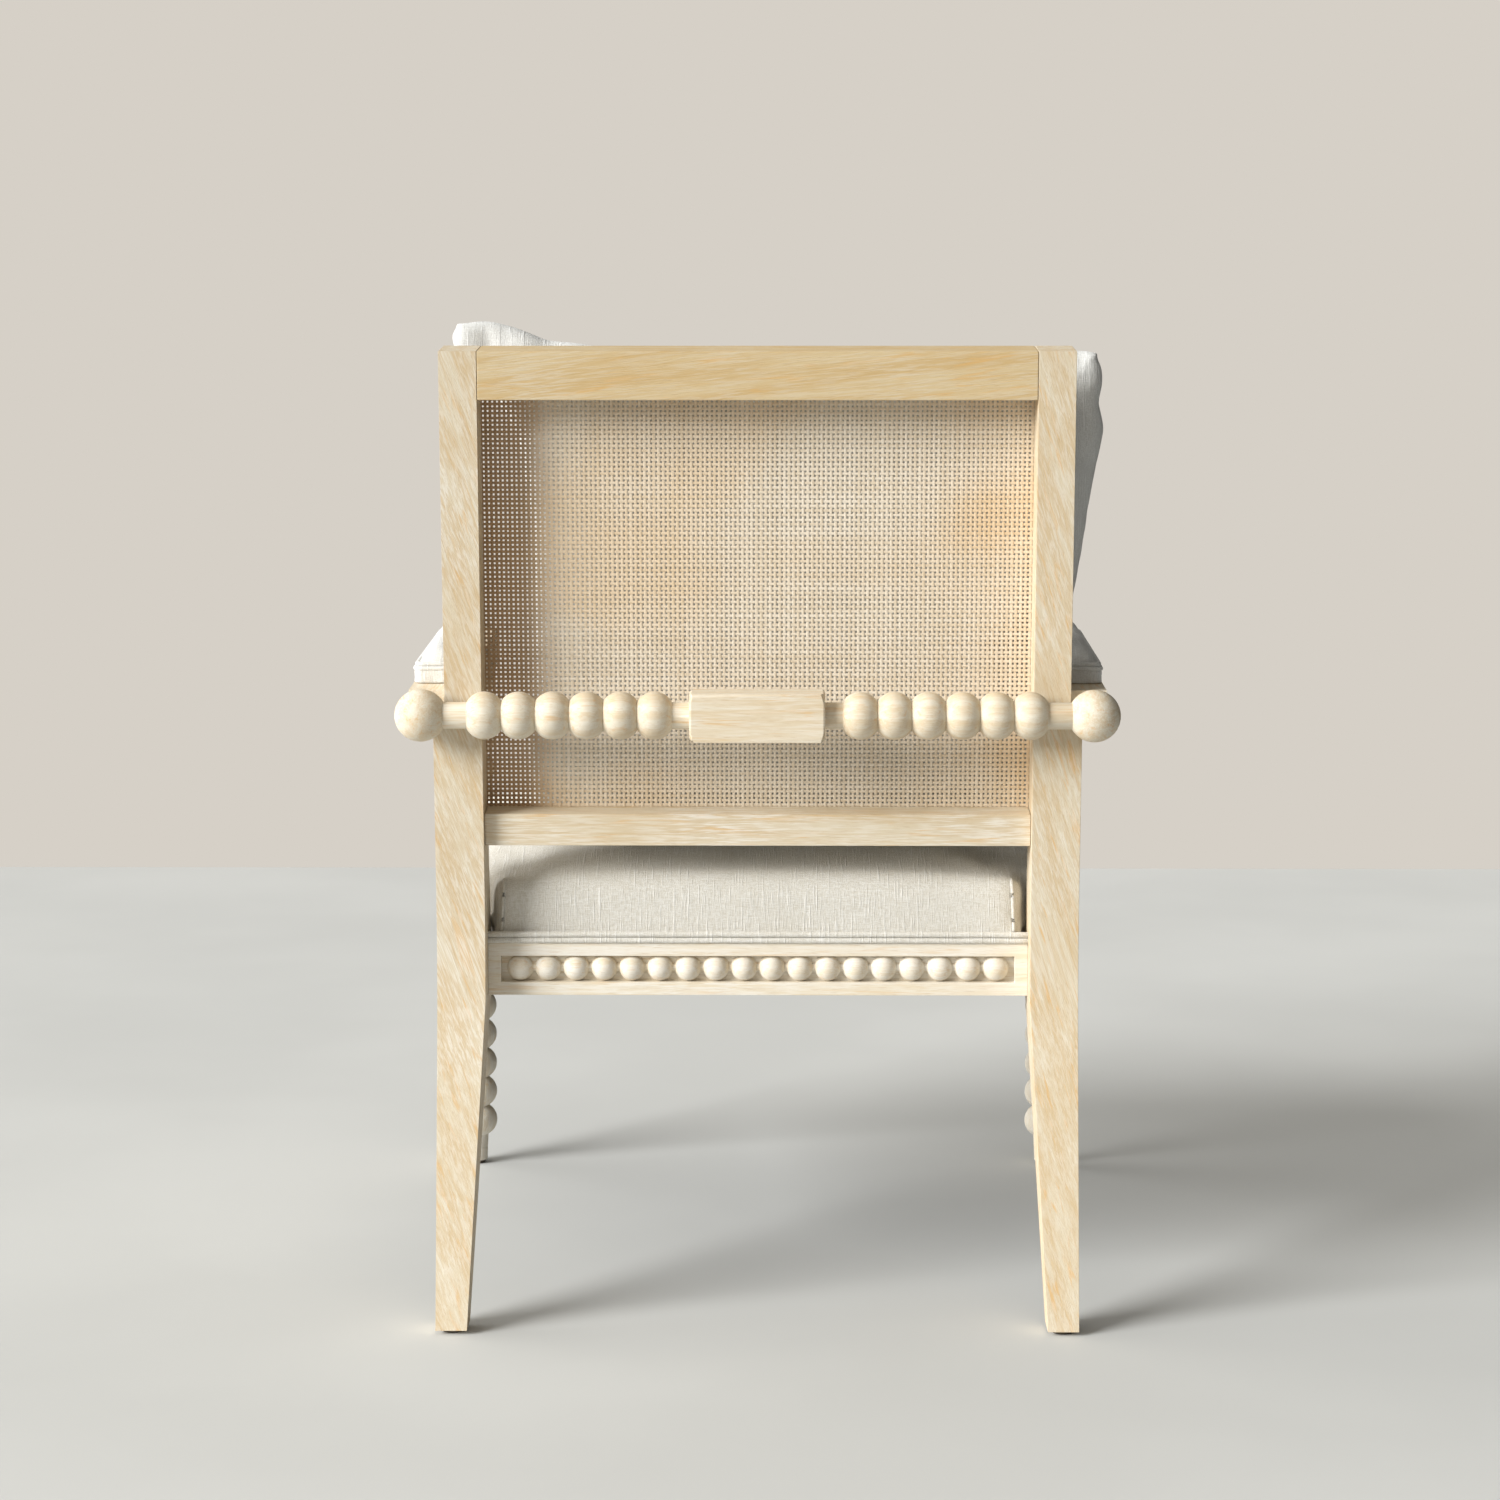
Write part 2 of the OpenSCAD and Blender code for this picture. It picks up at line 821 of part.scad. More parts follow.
// Plan of the seat, drawn in by s on every side, with notches for the legs and arm supports
module seat_plan(s) {
    rear_y = rear_face_y - seat_set - s;
    front_y = front_face_y + seat_set + s;
    leg_x = back_half_gap - gap - s;
    leg_y = joint_y - gap - s;
    post_in = post_x - block_half - gap - s;
    post_front = side_front_y + gap + s;
    half = [
        [leg_x, rear_y], [leg_x, leg_y],
        [side_x(leg_y) - seat_set - s, leg_y],
        [side_x(post_front) - seat_set - s, post_front],
        [post_in, post_front], [post_in, front_y]
    ];
    mirrored = [for (i = [len(half) - 1 : -1 : 0]) [-half[i][0], half[i][1]]];
    polygon(concat(half, mirrored));
}

// The seat's padded body, crowned both ways
module seat_body() {
    across_r = seat_half_w * seat_half_w / (2 * seat_edge_drop);
    along_r = seat_half_d * seat_half_d / (2 * seat_edge_drop);
    intersection() {
        translate([0, 0, rail_top]) linear_extrude(seat_crown) seat_plan(0);
        translate([0, FAR, seat_crown - across_r])
            rotate([90, 0, 0]) cylinder(r = across_r, h = 2 * FAR, $fn = 720);
        translate([-FAR, seat_mid_y, seat_crown - along_r]) rod_x_fine(along_r, 2 * FAR);
    }
}

module rod_x_fine(r, l) {
    rotate([0, 90, 0]) cylinder(r = r, h = l, $fn = 720);
}

// Cover and wadding, hollow underneath for the foam slab and the webbing
module seat_cover() {
    color(LINEN) difference() {
        seat_body();
        translate([0, 0, rail_top - CUT])
            linear_extrude(foam_top + slack - rail_top + CUT) seat_plan(cover_t);
    }
}

module seat_foam() {
    color("Ivory") translate([0, 0, foam_z]) linear_extrude(foam_top - foam_z) seat_plan(cover_t + slack);
}

module seat_hessian() {
    color("Tan") translate([0, 0, foam_z - hessian_t - layer_gap])
        linear_extrude(hessian_t) seat_plan(cover_t + slack);
}

strap_rear_end = rear_face_y - strap_in;
strap_front_end = front_face_y + strap_in;
tack_rows = [strap_rear_end - tack_edge, strap_front_end + tack_edge];
function strap_half(y) = side_x(y) - strap_in - 2;

module seat_webbing() {
    color("Peru") difference() {
        union() {
            for (x = strap_xs) translate([x - web_w / 2, strap_front_end, web_z])
                cube([web_w, strap_rear_end - strap_front_end, web_t]);
            for (y = strap_ys) translate([-strap_half(y), y - web_w / 2, web_z + web_t])
                cube([2 * strap_half(y), web_w, web_t]);
        }
        tacks(RUNNING);
    }
}

// Tacks in the ends of the straps: each place is [x, y, top of the strap]
function tack_places() = concat(
    [for (x = strap_xs, dx = [-1, 1] * tack_spread, y = tack_rows) [x + dx, y, web_z + web_t]],
    [for (y = strap_ys, dy = [-1, 1] * tack_spread, side = [-1, 1])
        [side * (strap_half(y) - tack_edge), y + dy, web_z + 2 * web_t]]
);

module tacks(extra) {
    for (p = tack_places()) translate([p[0], p[1], p[2] - tack_in - 2 * web_t])
        cylinder(r = tack_r + extra, h = tack_in + 2 * web_t + (extra > 0 ? CUT : 0));
}

module webbing_tacks() {
    color(STEEL) {
        tacks(0);
        for (p = tack_places()) translate(p) cylinder(r = tack_head_r, h = tack_head_h);
    }
}

// Two cords side by side, one above the other, along the four open edges of the seat's base
module seat_welt() {
    out = welt_r + 0.05 - seat_set;
    rear_half = back_half_gap - gap;
    front_half = post_x - block_half - gap;
    run = side_len - 2;
    color(LINEN) for (z = [rail_top + welt_r, rail_top + 3 * welt_r]) {
        translate([-rear_half, rear_face_y + out, z]) rod_x(welt_r, 2 * rear_half);
        translate([-front_half, front_face_y - out, z]) rod_x(welt_r, 2 * front_half);
        both_sides() at_side_face() translate([-run / 2, -out, z]) rod_x(welt_r, run);
    }
}

// Cloth stapled under the seat rails
module dust_cover() {
    edge = 6;
    color("DimGray") translate([0, 0, rail_bottom - 1]) linear_extrude(1) seat_plan(edge);
}

// ---------- Glides ----------

glide_pin_r = 1.5;
glide_pin_l = 16;

module glide_pin(extra) {
    cylinder(r = glide_pin_r + extra, h = glide_h + glide_pin_l + (extra > 0 ? CUT : 0));
}

module glide(r) {
    cylinder(r1 = r - 1.5, r2 = r, h = 1.5);
    translate([0, 0, 1.5]) cylinder(r = r, h = glide_h - 1.5);
    glide_pin(0);
}

module floor_glides() {
    color("DimGray") both_sides() {
        translate([leg_outer - foot_w / 2, heel_y - foot_d / 2, 0]) glide(11);
        translate([post_x, post_y, 0]) glide(9);
    }
}

// ---------- Back cushion ----------

cushion_points = [
    [cushion_low_x, 0], [cushion_low_x, 215], [276, 300], [280, 400], [286, 489],
    [200, 474], [0, 463], [-200, 460], [-320, 461],
    [-315, 400], [-303, 330], [-286, 270], [-cushion_low_x, 215], [-cushion_low_x, 0]
];
cushion_mid = [-8, -cushion_t / 2, 235];

// Outline seen along the rake, thick in the middle and thinner towards its edges
module cushion_volume() {
    across_r = 300 * 300 / (2 * cushion_crown);
    along_r = 240 * 240 / (2 * cushion_crown);
    intersection() {
        rotate([90, 0, 0]) linear_extrude(cushion_t) polygon(cushion_points);
        translate([0, across_r - cushion_t, -FAR]) cylinder(r = across_r, h = 3 * FAR, $fn = 720);
        translate([-FAR, along_r - cushion_t, cushion_mid[2]]) rod_x_fine(along_r, 2 * FAR);
    }
}

module cushion_scaled(k) {
    translate(cushion_mid) scale(k) translate(-cushion_mid) cushion_volume();
}

module back_cushion_cover() {
    color("WhiteSmoke") raked() translate([0, cushion_v, cushion_u]) difference() {
        cushion_volume();
        cushion_scaled(cushion_scale);
    }
}

module back_cushion_filling() {
    color("Ivory") raked() translate([0, cushion_v, cushion_u]) cushion_scaled(cushion_scale - 0.005);
}

rear_leg_left();
rear_leg_right();
front_leg_left();
front_leg_right();
rear_seat_rail();
front_seat_rail();
side_seat_rail_left();
side_seat_rail_right();
rear_bead_moulding();
front_bead_moulding();
side_bead_moulding_left();
side_bead_moulding_right();
back_top_rail();
back_lower_rail();
back_bobbin_rail();
arm_left();
arm_right();
cane_panel();
cane_spline();
corner_blocks();
corner_block_screws();
seat_rail_dowels();
back_rail_dowels();
arm_screws();
arm_screw_plugs();
arm_pad_left();
arm_pad_right();
arm_pad_board_left();
arm_pad_board_right();
arm_pad_welt_left();
arm_pad_welt_right();
arm_pad_screws();
seat_webbing();
webbing_tacks();
seat_hessian();
seat_foam();
seat_cover();
seat_welt();
dust_cover();
floor_glides();
back_cushion_cover();
back_cushion_filling();
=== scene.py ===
"""Looks of the limed oak armchair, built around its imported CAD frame. Metres, the chair faces -Y."""
import json
import math

import bmesh
import bpy
import numpy as np
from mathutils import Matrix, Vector, noise
from mathutils.bvhtree import BVHTree


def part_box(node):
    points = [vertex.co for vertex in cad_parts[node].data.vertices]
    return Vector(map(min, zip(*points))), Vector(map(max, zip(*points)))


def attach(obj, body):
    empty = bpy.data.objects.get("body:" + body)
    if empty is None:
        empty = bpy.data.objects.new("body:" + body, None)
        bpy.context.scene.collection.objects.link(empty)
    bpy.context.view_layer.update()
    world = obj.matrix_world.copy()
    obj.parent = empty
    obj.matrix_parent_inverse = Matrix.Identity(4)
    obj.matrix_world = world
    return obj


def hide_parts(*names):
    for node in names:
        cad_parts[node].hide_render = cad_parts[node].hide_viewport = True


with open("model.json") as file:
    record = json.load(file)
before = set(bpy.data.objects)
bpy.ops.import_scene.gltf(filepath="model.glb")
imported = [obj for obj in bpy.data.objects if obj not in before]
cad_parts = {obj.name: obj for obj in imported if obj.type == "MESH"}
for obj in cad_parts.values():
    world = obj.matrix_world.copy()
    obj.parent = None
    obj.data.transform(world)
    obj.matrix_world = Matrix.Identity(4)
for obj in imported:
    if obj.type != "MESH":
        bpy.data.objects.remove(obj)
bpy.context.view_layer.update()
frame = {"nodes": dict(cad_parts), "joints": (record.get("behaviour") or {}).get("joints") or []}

NODES = frame["nodes"]
MM = 0.001
SCENE = bpy.context.scene

# The back's own directions: up its rake, which is the cushion's slide, and square to it, backwards
UP_RAKE = Vector(frame["joints"][0]["axis"]).normalized()
BACKWARDS = Vector((0, UP_RAKE.z, -UP_RAKE.y))
ACROSS = Vector((1, 0, 0))


def span(node, direction):
    """Least and greatest distance of a CAD node's vertices along a direction."""
    reach = [v.co.dot(direction) for v in NODES[node].data.vertices]
    return min(reach), max(reach)


def on_rake(x, up, back):
    return ACROSS * x + UP_RAKE * up + BACKWARDS * back


# ---------- Materials ----------

def srgb(red, green, blue):
    """A colour given in 0-255 display values, as the linear one that shaders take."""
    def linear(value):
        value /= 255
        return value / 12.92 if value <= 0.04045 else ((value + 0.055) / 1.055) ** 2.4
    return (linear(red), linear(green), linear(blue), 1.0)


# How far apart along X, Y and Z the noise of two neighbouring seeds lies
SEED_STEP = (0.37, 0.61, 0.83)


class Graph:
    """A material's node tree. Each call adds a node and returns its output socket."""

    def __init__(self, name, roughness, specular=0.35, sheen=0.0):
        self.material = bpy.data.materials.new(name)
        self.material.use_nodes = True
        self.tree = self.material.node_tree
        self.shader = self.tree.nodes["Principled BSDF"]
        self.shader.inputs["Roughness"].default_value = roughness
        self.shader.inputs["Specular IOR Level"].default_value = specular
        self.shader.inputs["Sheen Weight"].default_value = sheen
        self.place = self.tree.nodes.new("ShaderNodeTexCoord").outputs["Object"]

    def put(self, socket, value):
        if isinstance(value, bpy.types.NodeSocket):
            self.tree.links.new(value, socket)
        else:
            socket.default_value = value

    def noise(self, size, seed=0, detail=2.0, turn=(0, 0, 0), warp=0.0):
        """Noise whose features have that size along X, Y and Z, in metres."""
        mapping = self.tree.nodes.new("ShaderNodeMapping")
        mapping.vector_type = "TEXTURE"
        mapping.inputs["Location"].default_value = tuple(seed * step for step in SEED_STEP)
        mapping.inputs["Rotation"].default_value = turn
        mapping.inputs["Scale"].default_value = size
        self.put(mapping.inputs["Vector"], self.place)
        texture = self.tree.nodes.new("ShaderNodeTexNoise")
        texture.inputs["Scale"].default_value = 1.0
        texture.inputs["Detail"].default_value = detail
        texture.inputs["Distortion"].default_value = warp
        self.put(texture.inputs["Vector"], mapping.outputs[0])
        return texture.outputs["Fac"]

    def level(self, value, low, high, start=0.0, end=1.0):
        """value taken from low..high to start..end, smoothly and clamped."""
        node = self.tree.nodes.new("ShaderNodeMapRange")
        node.interpolation_type = "SMOOTHSTEP"
        self.put(node.inputs["Value"], value)
        for name, number in (("From Min", low), ("From Max", high), ("To Min", start), ("To Max", end)):
            self.put(node.inputs[name], number)
        return node.outputs["Result"]

    def mix(self, share, first, second, kind="MIX"):
        node = self.tree.nodes.new("ShaderNodeMix")
        node.data_type = "RGBA"
        node.blend_type = kind
        self.put(node.inputs["Factor"], share)
        self.put(node.inputs[6], first)
        self.put(node.inputs[7], second)
        return node.outputs[2]

    def sideways(self):
        """Each point's distance from the middle of the chair, along X."""
        node = self.tree.nodes.new("ShaderNodeSeparateXYZ")
        self.put(node.inputs[0], self.place)
        return node.outputs["X"]

    def maths(self, operation, first, second):
        node = self.tree.nodes.new("ShaderNodeMath")
        node.operation = operation
        self.put(node.inputs[0], first)
        self.put(node.inputs[1], second)
        return node.outputs[0]

    def colour(self, value):
        self.put(self.shader.inputs["Base Color"], value)

    def rough(self, value):
        self.put(self.shader.inputs["Roughness"], value)

    def bump(self, height, depth):
        """Surface relief of that depth in metres."""
        node = self.tree.nodes.new("ShaderNodeBump")
        node.inputs["Strength"].default_value = 1.0
        node.inputs["Distance"].default_value = depth
        self.put(node.inputs["Height"], height)
        self.put(self.shader.inputs["Normal"], node.outputs[0])


def oak(name, grain, seed, base, golden, lime, gold_share=0.5, lime_share=0.6, tilt=0.0):
    """Limed oak: golden flecks and rings, lime left in its pores, all drawn out along the grain axis."""
    graph = Graph(name, 0.62, specular=0.3)
    turn = (0, tilt, 0)

    def size(along, aside):
        return tuple(along * MM if axis == grain else aside * MM for axis in "XYZ")

    rings = graph.noise(size(300, 9), seed, 3.0, turn, 0.6)
    patches = graph.noise(size(60, 5), seed + 1, 2.0, turn, 0.8)
    streaks = graph.noise(size(26, 1.5), seed + 2, 2.0, turn, 0.3)
    pores = graph.noise(size(12, 0.45), seed + 3, 1.0, turn)
    cloud = graph.noise((90 * MM, 90 * MM, 90 * MM), seed + 4, 2.0)
    colour = graph.mix(graph.level(rings, 0.35, 0.65), base, golden)
    colour = graph.mix(graph.level(patches, 0.56, 0.72, 0.0, gold_share), colour, srgb(214, 168, 98))
    wash = graph.maths("MULTIPLY", graph.level(streaks, 0.42, 0.64, 0.2, 1.0),
                       graph.level(cloud, 0.3, 0.7, lime_share * 0.45, lime_share))
    colour = graph.mix(wash, colour, lime)
    colour = graph.mix(graph.level(pores, 0.6, 0.72, 0.0, 0.28), colour, srgb(176, 140, 96))
    graph.colour(colour)
    graph.rough(graph.level(streaks, 0.35, 0.7, 0.52, 0.72))
    relief = graph.maths("ADD", graph.maths("MULTIPLY", pores, -0.6), graph.maths("MULTIPLY", streaks, 0.4))
    graph.bump(relief, 0.35 * MM)
    return graph.material


HONEY = srgb(213, 199, 172)
HONEY_DEEP = srgb(204, 181, 143)
GOLD = srgb(208, 186, 144)
GOLD_DEEP = srgb(200, 170, 118)
CHALKY = srgb(221, 211, 190)
CHALKY_DEEP = srgb(213, 194, 162)
PALE = srgb(228, 221, 208)
PALE_DEEP = srgb(221, 207, 181)
LIME = srgb(234, 230, 220)


def honey_oak(name, grain, seed, **changes):
    return oak(name, grain, seed, HONEY, HONEY_DEEP, LIME, **changes)


def gold_oak(name, grain, seed, **changes):
    return oak(name, grain, seed, GOLD, GOLD_DEEP, HONEY, **changes)


def chalky_oak(name, grain, seed, **changes):
    return oak(name, grain, seed, CHALKY, CHALKY_DEEP, LIME, **changes)


def pale_oak(name, grain, seed, **changes):
    changes.setdefault("gold_share", 0.3)
    changes.setdefault("lime_share", 0.8)
    return oak(name, grain, seed, PALE, PALE_DEEP, LIME, **changes)


def linen(name, tint, shade, slub, seed):
    """Plain-woven linen: threads along all three axes, so that each face shows two sets, and thick slubs."""
    graph = Graph(name, 0.9, specular=0.15, sheen=0.25)
    thick, thin = 6 * MM, 0.55 * MM
    along_x = graph.noise((thick, thin, thin), seed, 1.0)
    along_y = graph.noise((thin, thick, thin), seed + 1, 1.0)
    along_z = graph.noise((thin, thin, thick), seed + 2, 1.0)
    threads = graph.maths("ADD", graph.maths("ADD", along_x, along_y), along_z)
    slubs = graph.noise((1.6 * MM, 30 * MM, 26 * MM), seed + 3, 2.0)
    cross_slubs = graph.noise((34 * MM, 1.4 * MM, 1.3 * MM), seed + 4, 2.0)
    cloud = graph.noise((70 * MM, 70 * MM, 70 * MM), seed + 5, 3.0)
    colour = graph.mix(graph.level(threads, 1.25, 1.75), shade, tint)
    colour = graph.mix(graph.level(slubs, 0.56, 0.72, 0.0, 0.6), colour, slub)
    colour = graph.mix(graph.level(cross_slubs, 0.58, 0.74, 0.0, 0.45), colour, slub)
    colour = graph.mix(graph.level(cloud, 0.4, 0.75, 0.0, 0.25), colour, shade)
    graph.colour(colour)
    relief = graph.maths("ADD", threads, graph.maths("MULTIPLY", graph.level(slubs, 0.5, 0.75), 1.2))
    graph.bump(relief, 0.25 * MM)
    return graph.material


def cane_strand(name, along, seed):
    """Split cane seen along one axis: each strand has its own tone, with fine fibres along it, and painted
    shade near the left stile.
    """
    graph = Graph(name, 0.42, specular=0.4)
    across = "X" if along == "Z" else "Z"
    tone_lengths = {along: 160 * MM, across: 3.4 * MM, "Y": 900 * MM}
    tone_size = tuple(tone_lengths[axis] for axis in "XYZ")
    fibre_size = tuple(30 * MM if axis == along else 0.35 * MM for axis in "XYZ")
    tone = graph.noise(tone_size, seed, 1.0)
    fibres = graph.noise(fibre_size, seed + 1, 1.0)
    orange_cloud = graph.noise((150 * MM, 900 * MM, 130 * MM), 7, 1.0)
    colour = graph.mix(graph.level(tone, 0.3, 0.7), srgb(220, 205, 181), srgb(233, 222, 204))
    # Random orange patches over the whole sheet
    colour = graph.mix(graph.level(orange_cloud, 0.45, 0.7, 0.0, 0.4), colour, srgb(222, 189, 142))
    sideways = graph.sideways()
    # Painted shade: strands near the left stile (+X) turn brown, standing in for the stile's shadow on the
    # recessed cane
    painted_stile_shadow = graph.level(sideways, 0.175, 0.222, 0.0, 0.75)
    patchy = graph.level(orange_cloud, 0.35, 0.6, 0.12, 0.4)
    # Oranger towards the right (-X) side, in patches
    orange_to_right = graph.maths("MULTIPLY", graph.level(sideways, -0.1, -0.23), patchy)
    colour = graph.mix(orange_to_right, colour, srgb(226, 182, 118))
    colour = graph.mix(painted_stile_shadow, colour, srgb(170, 128, 80))
    colour = graph.mix(graph.level(fibres, 0.55, 0.75, 0.0, 0.35), colour, srgb(168, 132, 88))
    graph.colour(colour)
    graph.rough(graph.level(fibres, 0.3, 0.7, 0.36, 0.55))
    graph.bump(fibres, 0.08 * MM)
    return graph.material


def fibrous(name, light, dark, size, roughness, depth):
    """Wadding, jute, felt or cloth that is mostly out of sight: fine fibres in two tones."""
    graph = Graph(name, roughness, specular=0.15)
    fine = graph.noise((size, size * 0.5, size), 3, 3.0)
    broad = graph.noise((size * 14, size * 14, size * 14), 5, 2.0)
    colour = graph.mix(graph.level(fine, 0.35, 0.65), dark, light)
    colour = graph.mix(graph.level(broad, 0.4, 0.7, 0.0, 0.3), colour, dark)
    graph.colour(colour)
    graph.bump(fine, depth)
    return graph.material


def zinc_steel():
    graph = Graph("zinc_steel", 0.35, specular=0.5)
    graph.shader.inputs["Metallic"].default_value = 1.0
    crystals = graph.noise((1.2 * MM, 1.2 * MM, 1.2 * MM), 2, 2.0)
    graph.colour(graph.mix(crystals, srgb(176, 178, 180), srgb(214, 214, 210)))
    graph.rough(graph.level(crystals, 0.3, 0.7, 0.28, 0.5))
    return graph.material


# ---------- Mesh helpers ----------

WELD = 0.02 * MM
FLAT = math.radians(0.4)
# A cord's rounded tip: how far it stands out and how wide it is, as shares of the cord's radius
TIP_REACH = 0.6
TIP_WIDTH = 0.55


def new_object(name, mesh, *materials):
    piece = bpy.data.objects.new(name, mesh)
    SCENE.collection.objects.link(piece)
    for material in materials:
        mesh.materials.append(material)
    return piece


def from_bmesh(name, bm, *materials, smooth_angle=40):
    bmesh.ops.recalc_face_normals(bm, faces=bm.faces)
    mesh = bpy.data.meshes.new(name)
    bm.to_mesh(mesh)
    bm.free()
    mesh.shade_smooth()
    mesh.set_sharp_from_angle(angle=math.radians(smooth_angle))
    return new_object(name, mesh, *materials)


def positions(piece):
    flat = np.empty(len(piece.data.vertices) * 3)
    piece.data.vertices.foreach_get("co", flat)
    return flat.reshape(-1, 3)


def set_positions(piece, places):
    piece.data.vertices.foreach_set("co", np.asarray(places, float).ravel())
    piece.data.update()


def finish_piece(piece, body, material_slot, *nodes):
    """The piece rides on a body and stands for CAD nodes, which it hides. Its material slot is not used."""
    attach(piece, body)
    if nodes:
        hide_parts(*nodes)
    return piece


def even_shading(piece):
    """Wide faces keep their own shading next to narrow rounded ones."""
    modifier = piece.modifiers.new("even_shading", "WEIGHTED_NORMAL")
    modifier.keep_sharp = True


def softened(node, material, material_slot, width=1.2 * MM, sharpest=35, shortest=6 * MM, joint=0.0):
    """A copy of a wooden CAD node with its long sharp edges eased, as sanding leaves them.
    A joint's width is taken off both its ends along X, so that the glue line shows."""
    bm = bmesh.new()
    bm.from_mesh(NODES[node].data)
    bmesh.ops.remove_doubles(bm, verts=bm.verts, dist=WELD)
    bmesh.ops.dissolve_limit(bm, angle_limit=FLAT, verts=bm.verts, edges=bm.edges)
    sharp = [
        edge for edge in bm.edges
        if len(edge.link_faces) == 2
        and edge.calc_length() > shortest
        and edge.calc_face_angle(0) > math.radians(sharpest)
    ]
    bmesh.ops.bevel(bm, geom=sharp, offset=width, segments=2, profile=0.6, affect="EDGES",
                    clamp_overlap=True)
    bmesh.ops.triangulate(bm, faces=[face for face in bm.faces if len(face.verts) > 4])
    if joint:
        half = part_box(node)[1].x
        for vert in bm.verts:
            vert.co.x *= (half - joint) / half
    piece = from_bmesh(node + "_eased", bm, material, smooth_angle=28)
    even_shading(piece)
    return finish_piece(piece, "frame", material_slot, node)


def turned(node, material, material_slot):
    """A copy of a turned CAD node with its split vertices welded, shaded smooth between its sharp rims."""
    bm = bmesh.new()
    bm.from_mesh(NODES[node].data)
    bmesh.ops.remove_doubles(bm, verts=bm.verts, dist=WELD)
    piece = from_bmesh(node + "_turned", bm, material, smooth_angle=24)
    even_shading(piece)
    return finish_piece(piece, "frame", material_slot, node)


def tube(name, points, radius, material, closed=False, sides=10):
    """A round cord along points, with domed ends where it isn't closed."""
    points = [Vector(p) for p in points]
    radii = [radius] * len(points)
    if not closed:
        first, last = (points[0] - points[1]).normalized(), (points[-1] - points[-2]).normalized()
        points = [points[0] + first * radius * TIP_REACH, *points, points[-1] + last * radius * TIP_REACH]
        radii = [radius * TIP_WIDTH, *radii, radius * TIP_WIDTH]
    bm = bmesh.new()
    rings = []
    count = len(points)
    for i, (point, r) in enumerate(zip(points, radii)):
        before = points[i - 1] if closed or i else point
        after = points[(i + 1) % count] if closed or i + 1 < count else point
        forward = (after - before).normalized()
        side = forward.cross(Vector((0, 0, 1)))
        side = side.normalized() if side.length > 0.1 else Vector((1, 0, 0))
        up = side.cross(forward)
        turns = [2 * math.pi * k / sides for k in range(sides)]
        rings.append([bm.verts.new(point + (side * math.cos(t) + up * math.sin(t)) * r) for t in turns])
    joints = list(zip(rings, rings[1:] + rings[:1])) if closed else list(zip(rings, rings[1:]))
    for low, high in joints:
        for k in range(sides):
            bm.faces.new((low[k], low[(k + 1) % sides], high[(k + 1) % sides], high[k]))
    if not closed:
        bm.faces.new(rings[0])
        bm.faces.new(rings[-1])
    return from_bmesh(name, bm, material, smooth_angle=70)


def remeshed(name, bm, voxel, material):
    """A closed shape rebuilt in even cells, ready for cloth."""
    piece = from_bmesh(name, bm, material)
    modifier = piece.modifiers.new("cells", "REMESH")
    modifier.mode = "VOXEL"
    modifier.voxel_size = voxel
    evaluated = piece.evaluated_get(bpy.context.evaluated_depsgraph_get())
    mesh = bpy.data.meshes.new_from_object(evaluated)
    piece.modifiers.clear()
    piece.data = mesh
    mesh.shade_smooth()
    return piece


def smoothed(piece, rounds, held=None):
    """Every free point moves towards the middle of its neighbours, a few times over."""
    places = positions(piece)
    edges = np.empty(len(piece.data.edges) * 2, int)
    piece.data.edges.foreach_get("vertices", edges)
    edges = edges.reshape(-1, 2)
    count = np.bincount(edges.ravel(), minlength=len(places))[:, None]
    for _ in range(rounds):
        total = np.zeros_like(places)
        np.add.at(total, edges[:, 0], places[edges[:, 1]])
        np.add.at(total, edges[:, 1], places[edges[:, 0]])
        moved = total / count
        if held is not None:
            moved[held] = places[held]
        places = moved
    set_positions(piece, places)


def inflate(piece, held, pressure, cap, inward=1 * MM, spare=0.0, stiffness=12.0, frames=20):
    """Cloth simulation of a stuffed cover with held points fixed. spare is the share of cloth cut too large.
    No point moves further than cap, or further in than inward."""
    start = positions(piece)
    normals = np.empty(len(start) * 3)
    piece.data.vertices.foreach_get("normal", normals)
    normals = normals.reshape(-1, 3)
    cloth = piece.modifiers.new("cloth", "CLOTH")
    settings = cloth.settings
    settings.quality = 4
    settings.mass = 0.25
    settings.tension_stiffness = stiffness
    settings.compression_stiffness = stiffness
    settings.shear_stiffness = stiffness / 2
    settings.bending_stiffness = 0.3
    settings.use_pressure = True
    settings.uniform_pressure_force = pressure
    settings.shrink_min = -spare
    settings.effector_weights.gravity = 0
    cloth.collision_settings.use_collision = False
    cloth.point_cache.frame_start = 1
    cloth.point_cache.frame_end = frames
    if len(held):
        group = piece.vertex_groups.new(name="held")
        group.add([int(i) for i in held], 1.0, "REPLACE")
        settings.vertex_group_mass = "held"
    for step in range(1, frames + 1):
        SCENE.frame_set(step)
    evaluated = piece.evaluated_get(bpy.context.evaluated_depsgraph_get())
    flat = np.empty(len(start) * 3)
    evaluated.data.vertices.foreach_get("co", flat)
    moved = flat.reshape(-1, 3) - start
    piece.modifiers.clear()
    piece.vertex_groups.clear()
    SCENE.frame_set(1)
    outward = np.sum(moved * normals, axis=1, keepdims=True)
    moved -= normals * np.minimum(0, outward + inward)
    length = np.linalg.norm(moved, axis=1, keepdims=True)
    moved *= np.minimum(1, cap / np.maximum(length, 1e-9))
    set_positions(piece, start + moved)


def subdivide(piece):
    modifier = piece.modifiers.new("finer", "SUBSURF")
    modifier.levels = 1
    modifier.render_levels = 1
    evaluated = piece.evaluated_get(bpy.context.evaluated_depsgraph_get())
    mesh = bpy.data.meshes.new_from_object(evaluated)
    piece.modifiers.clear()
    piece.data = mesh
    mesh.shade_smooth()


# ---------- Cane ----------

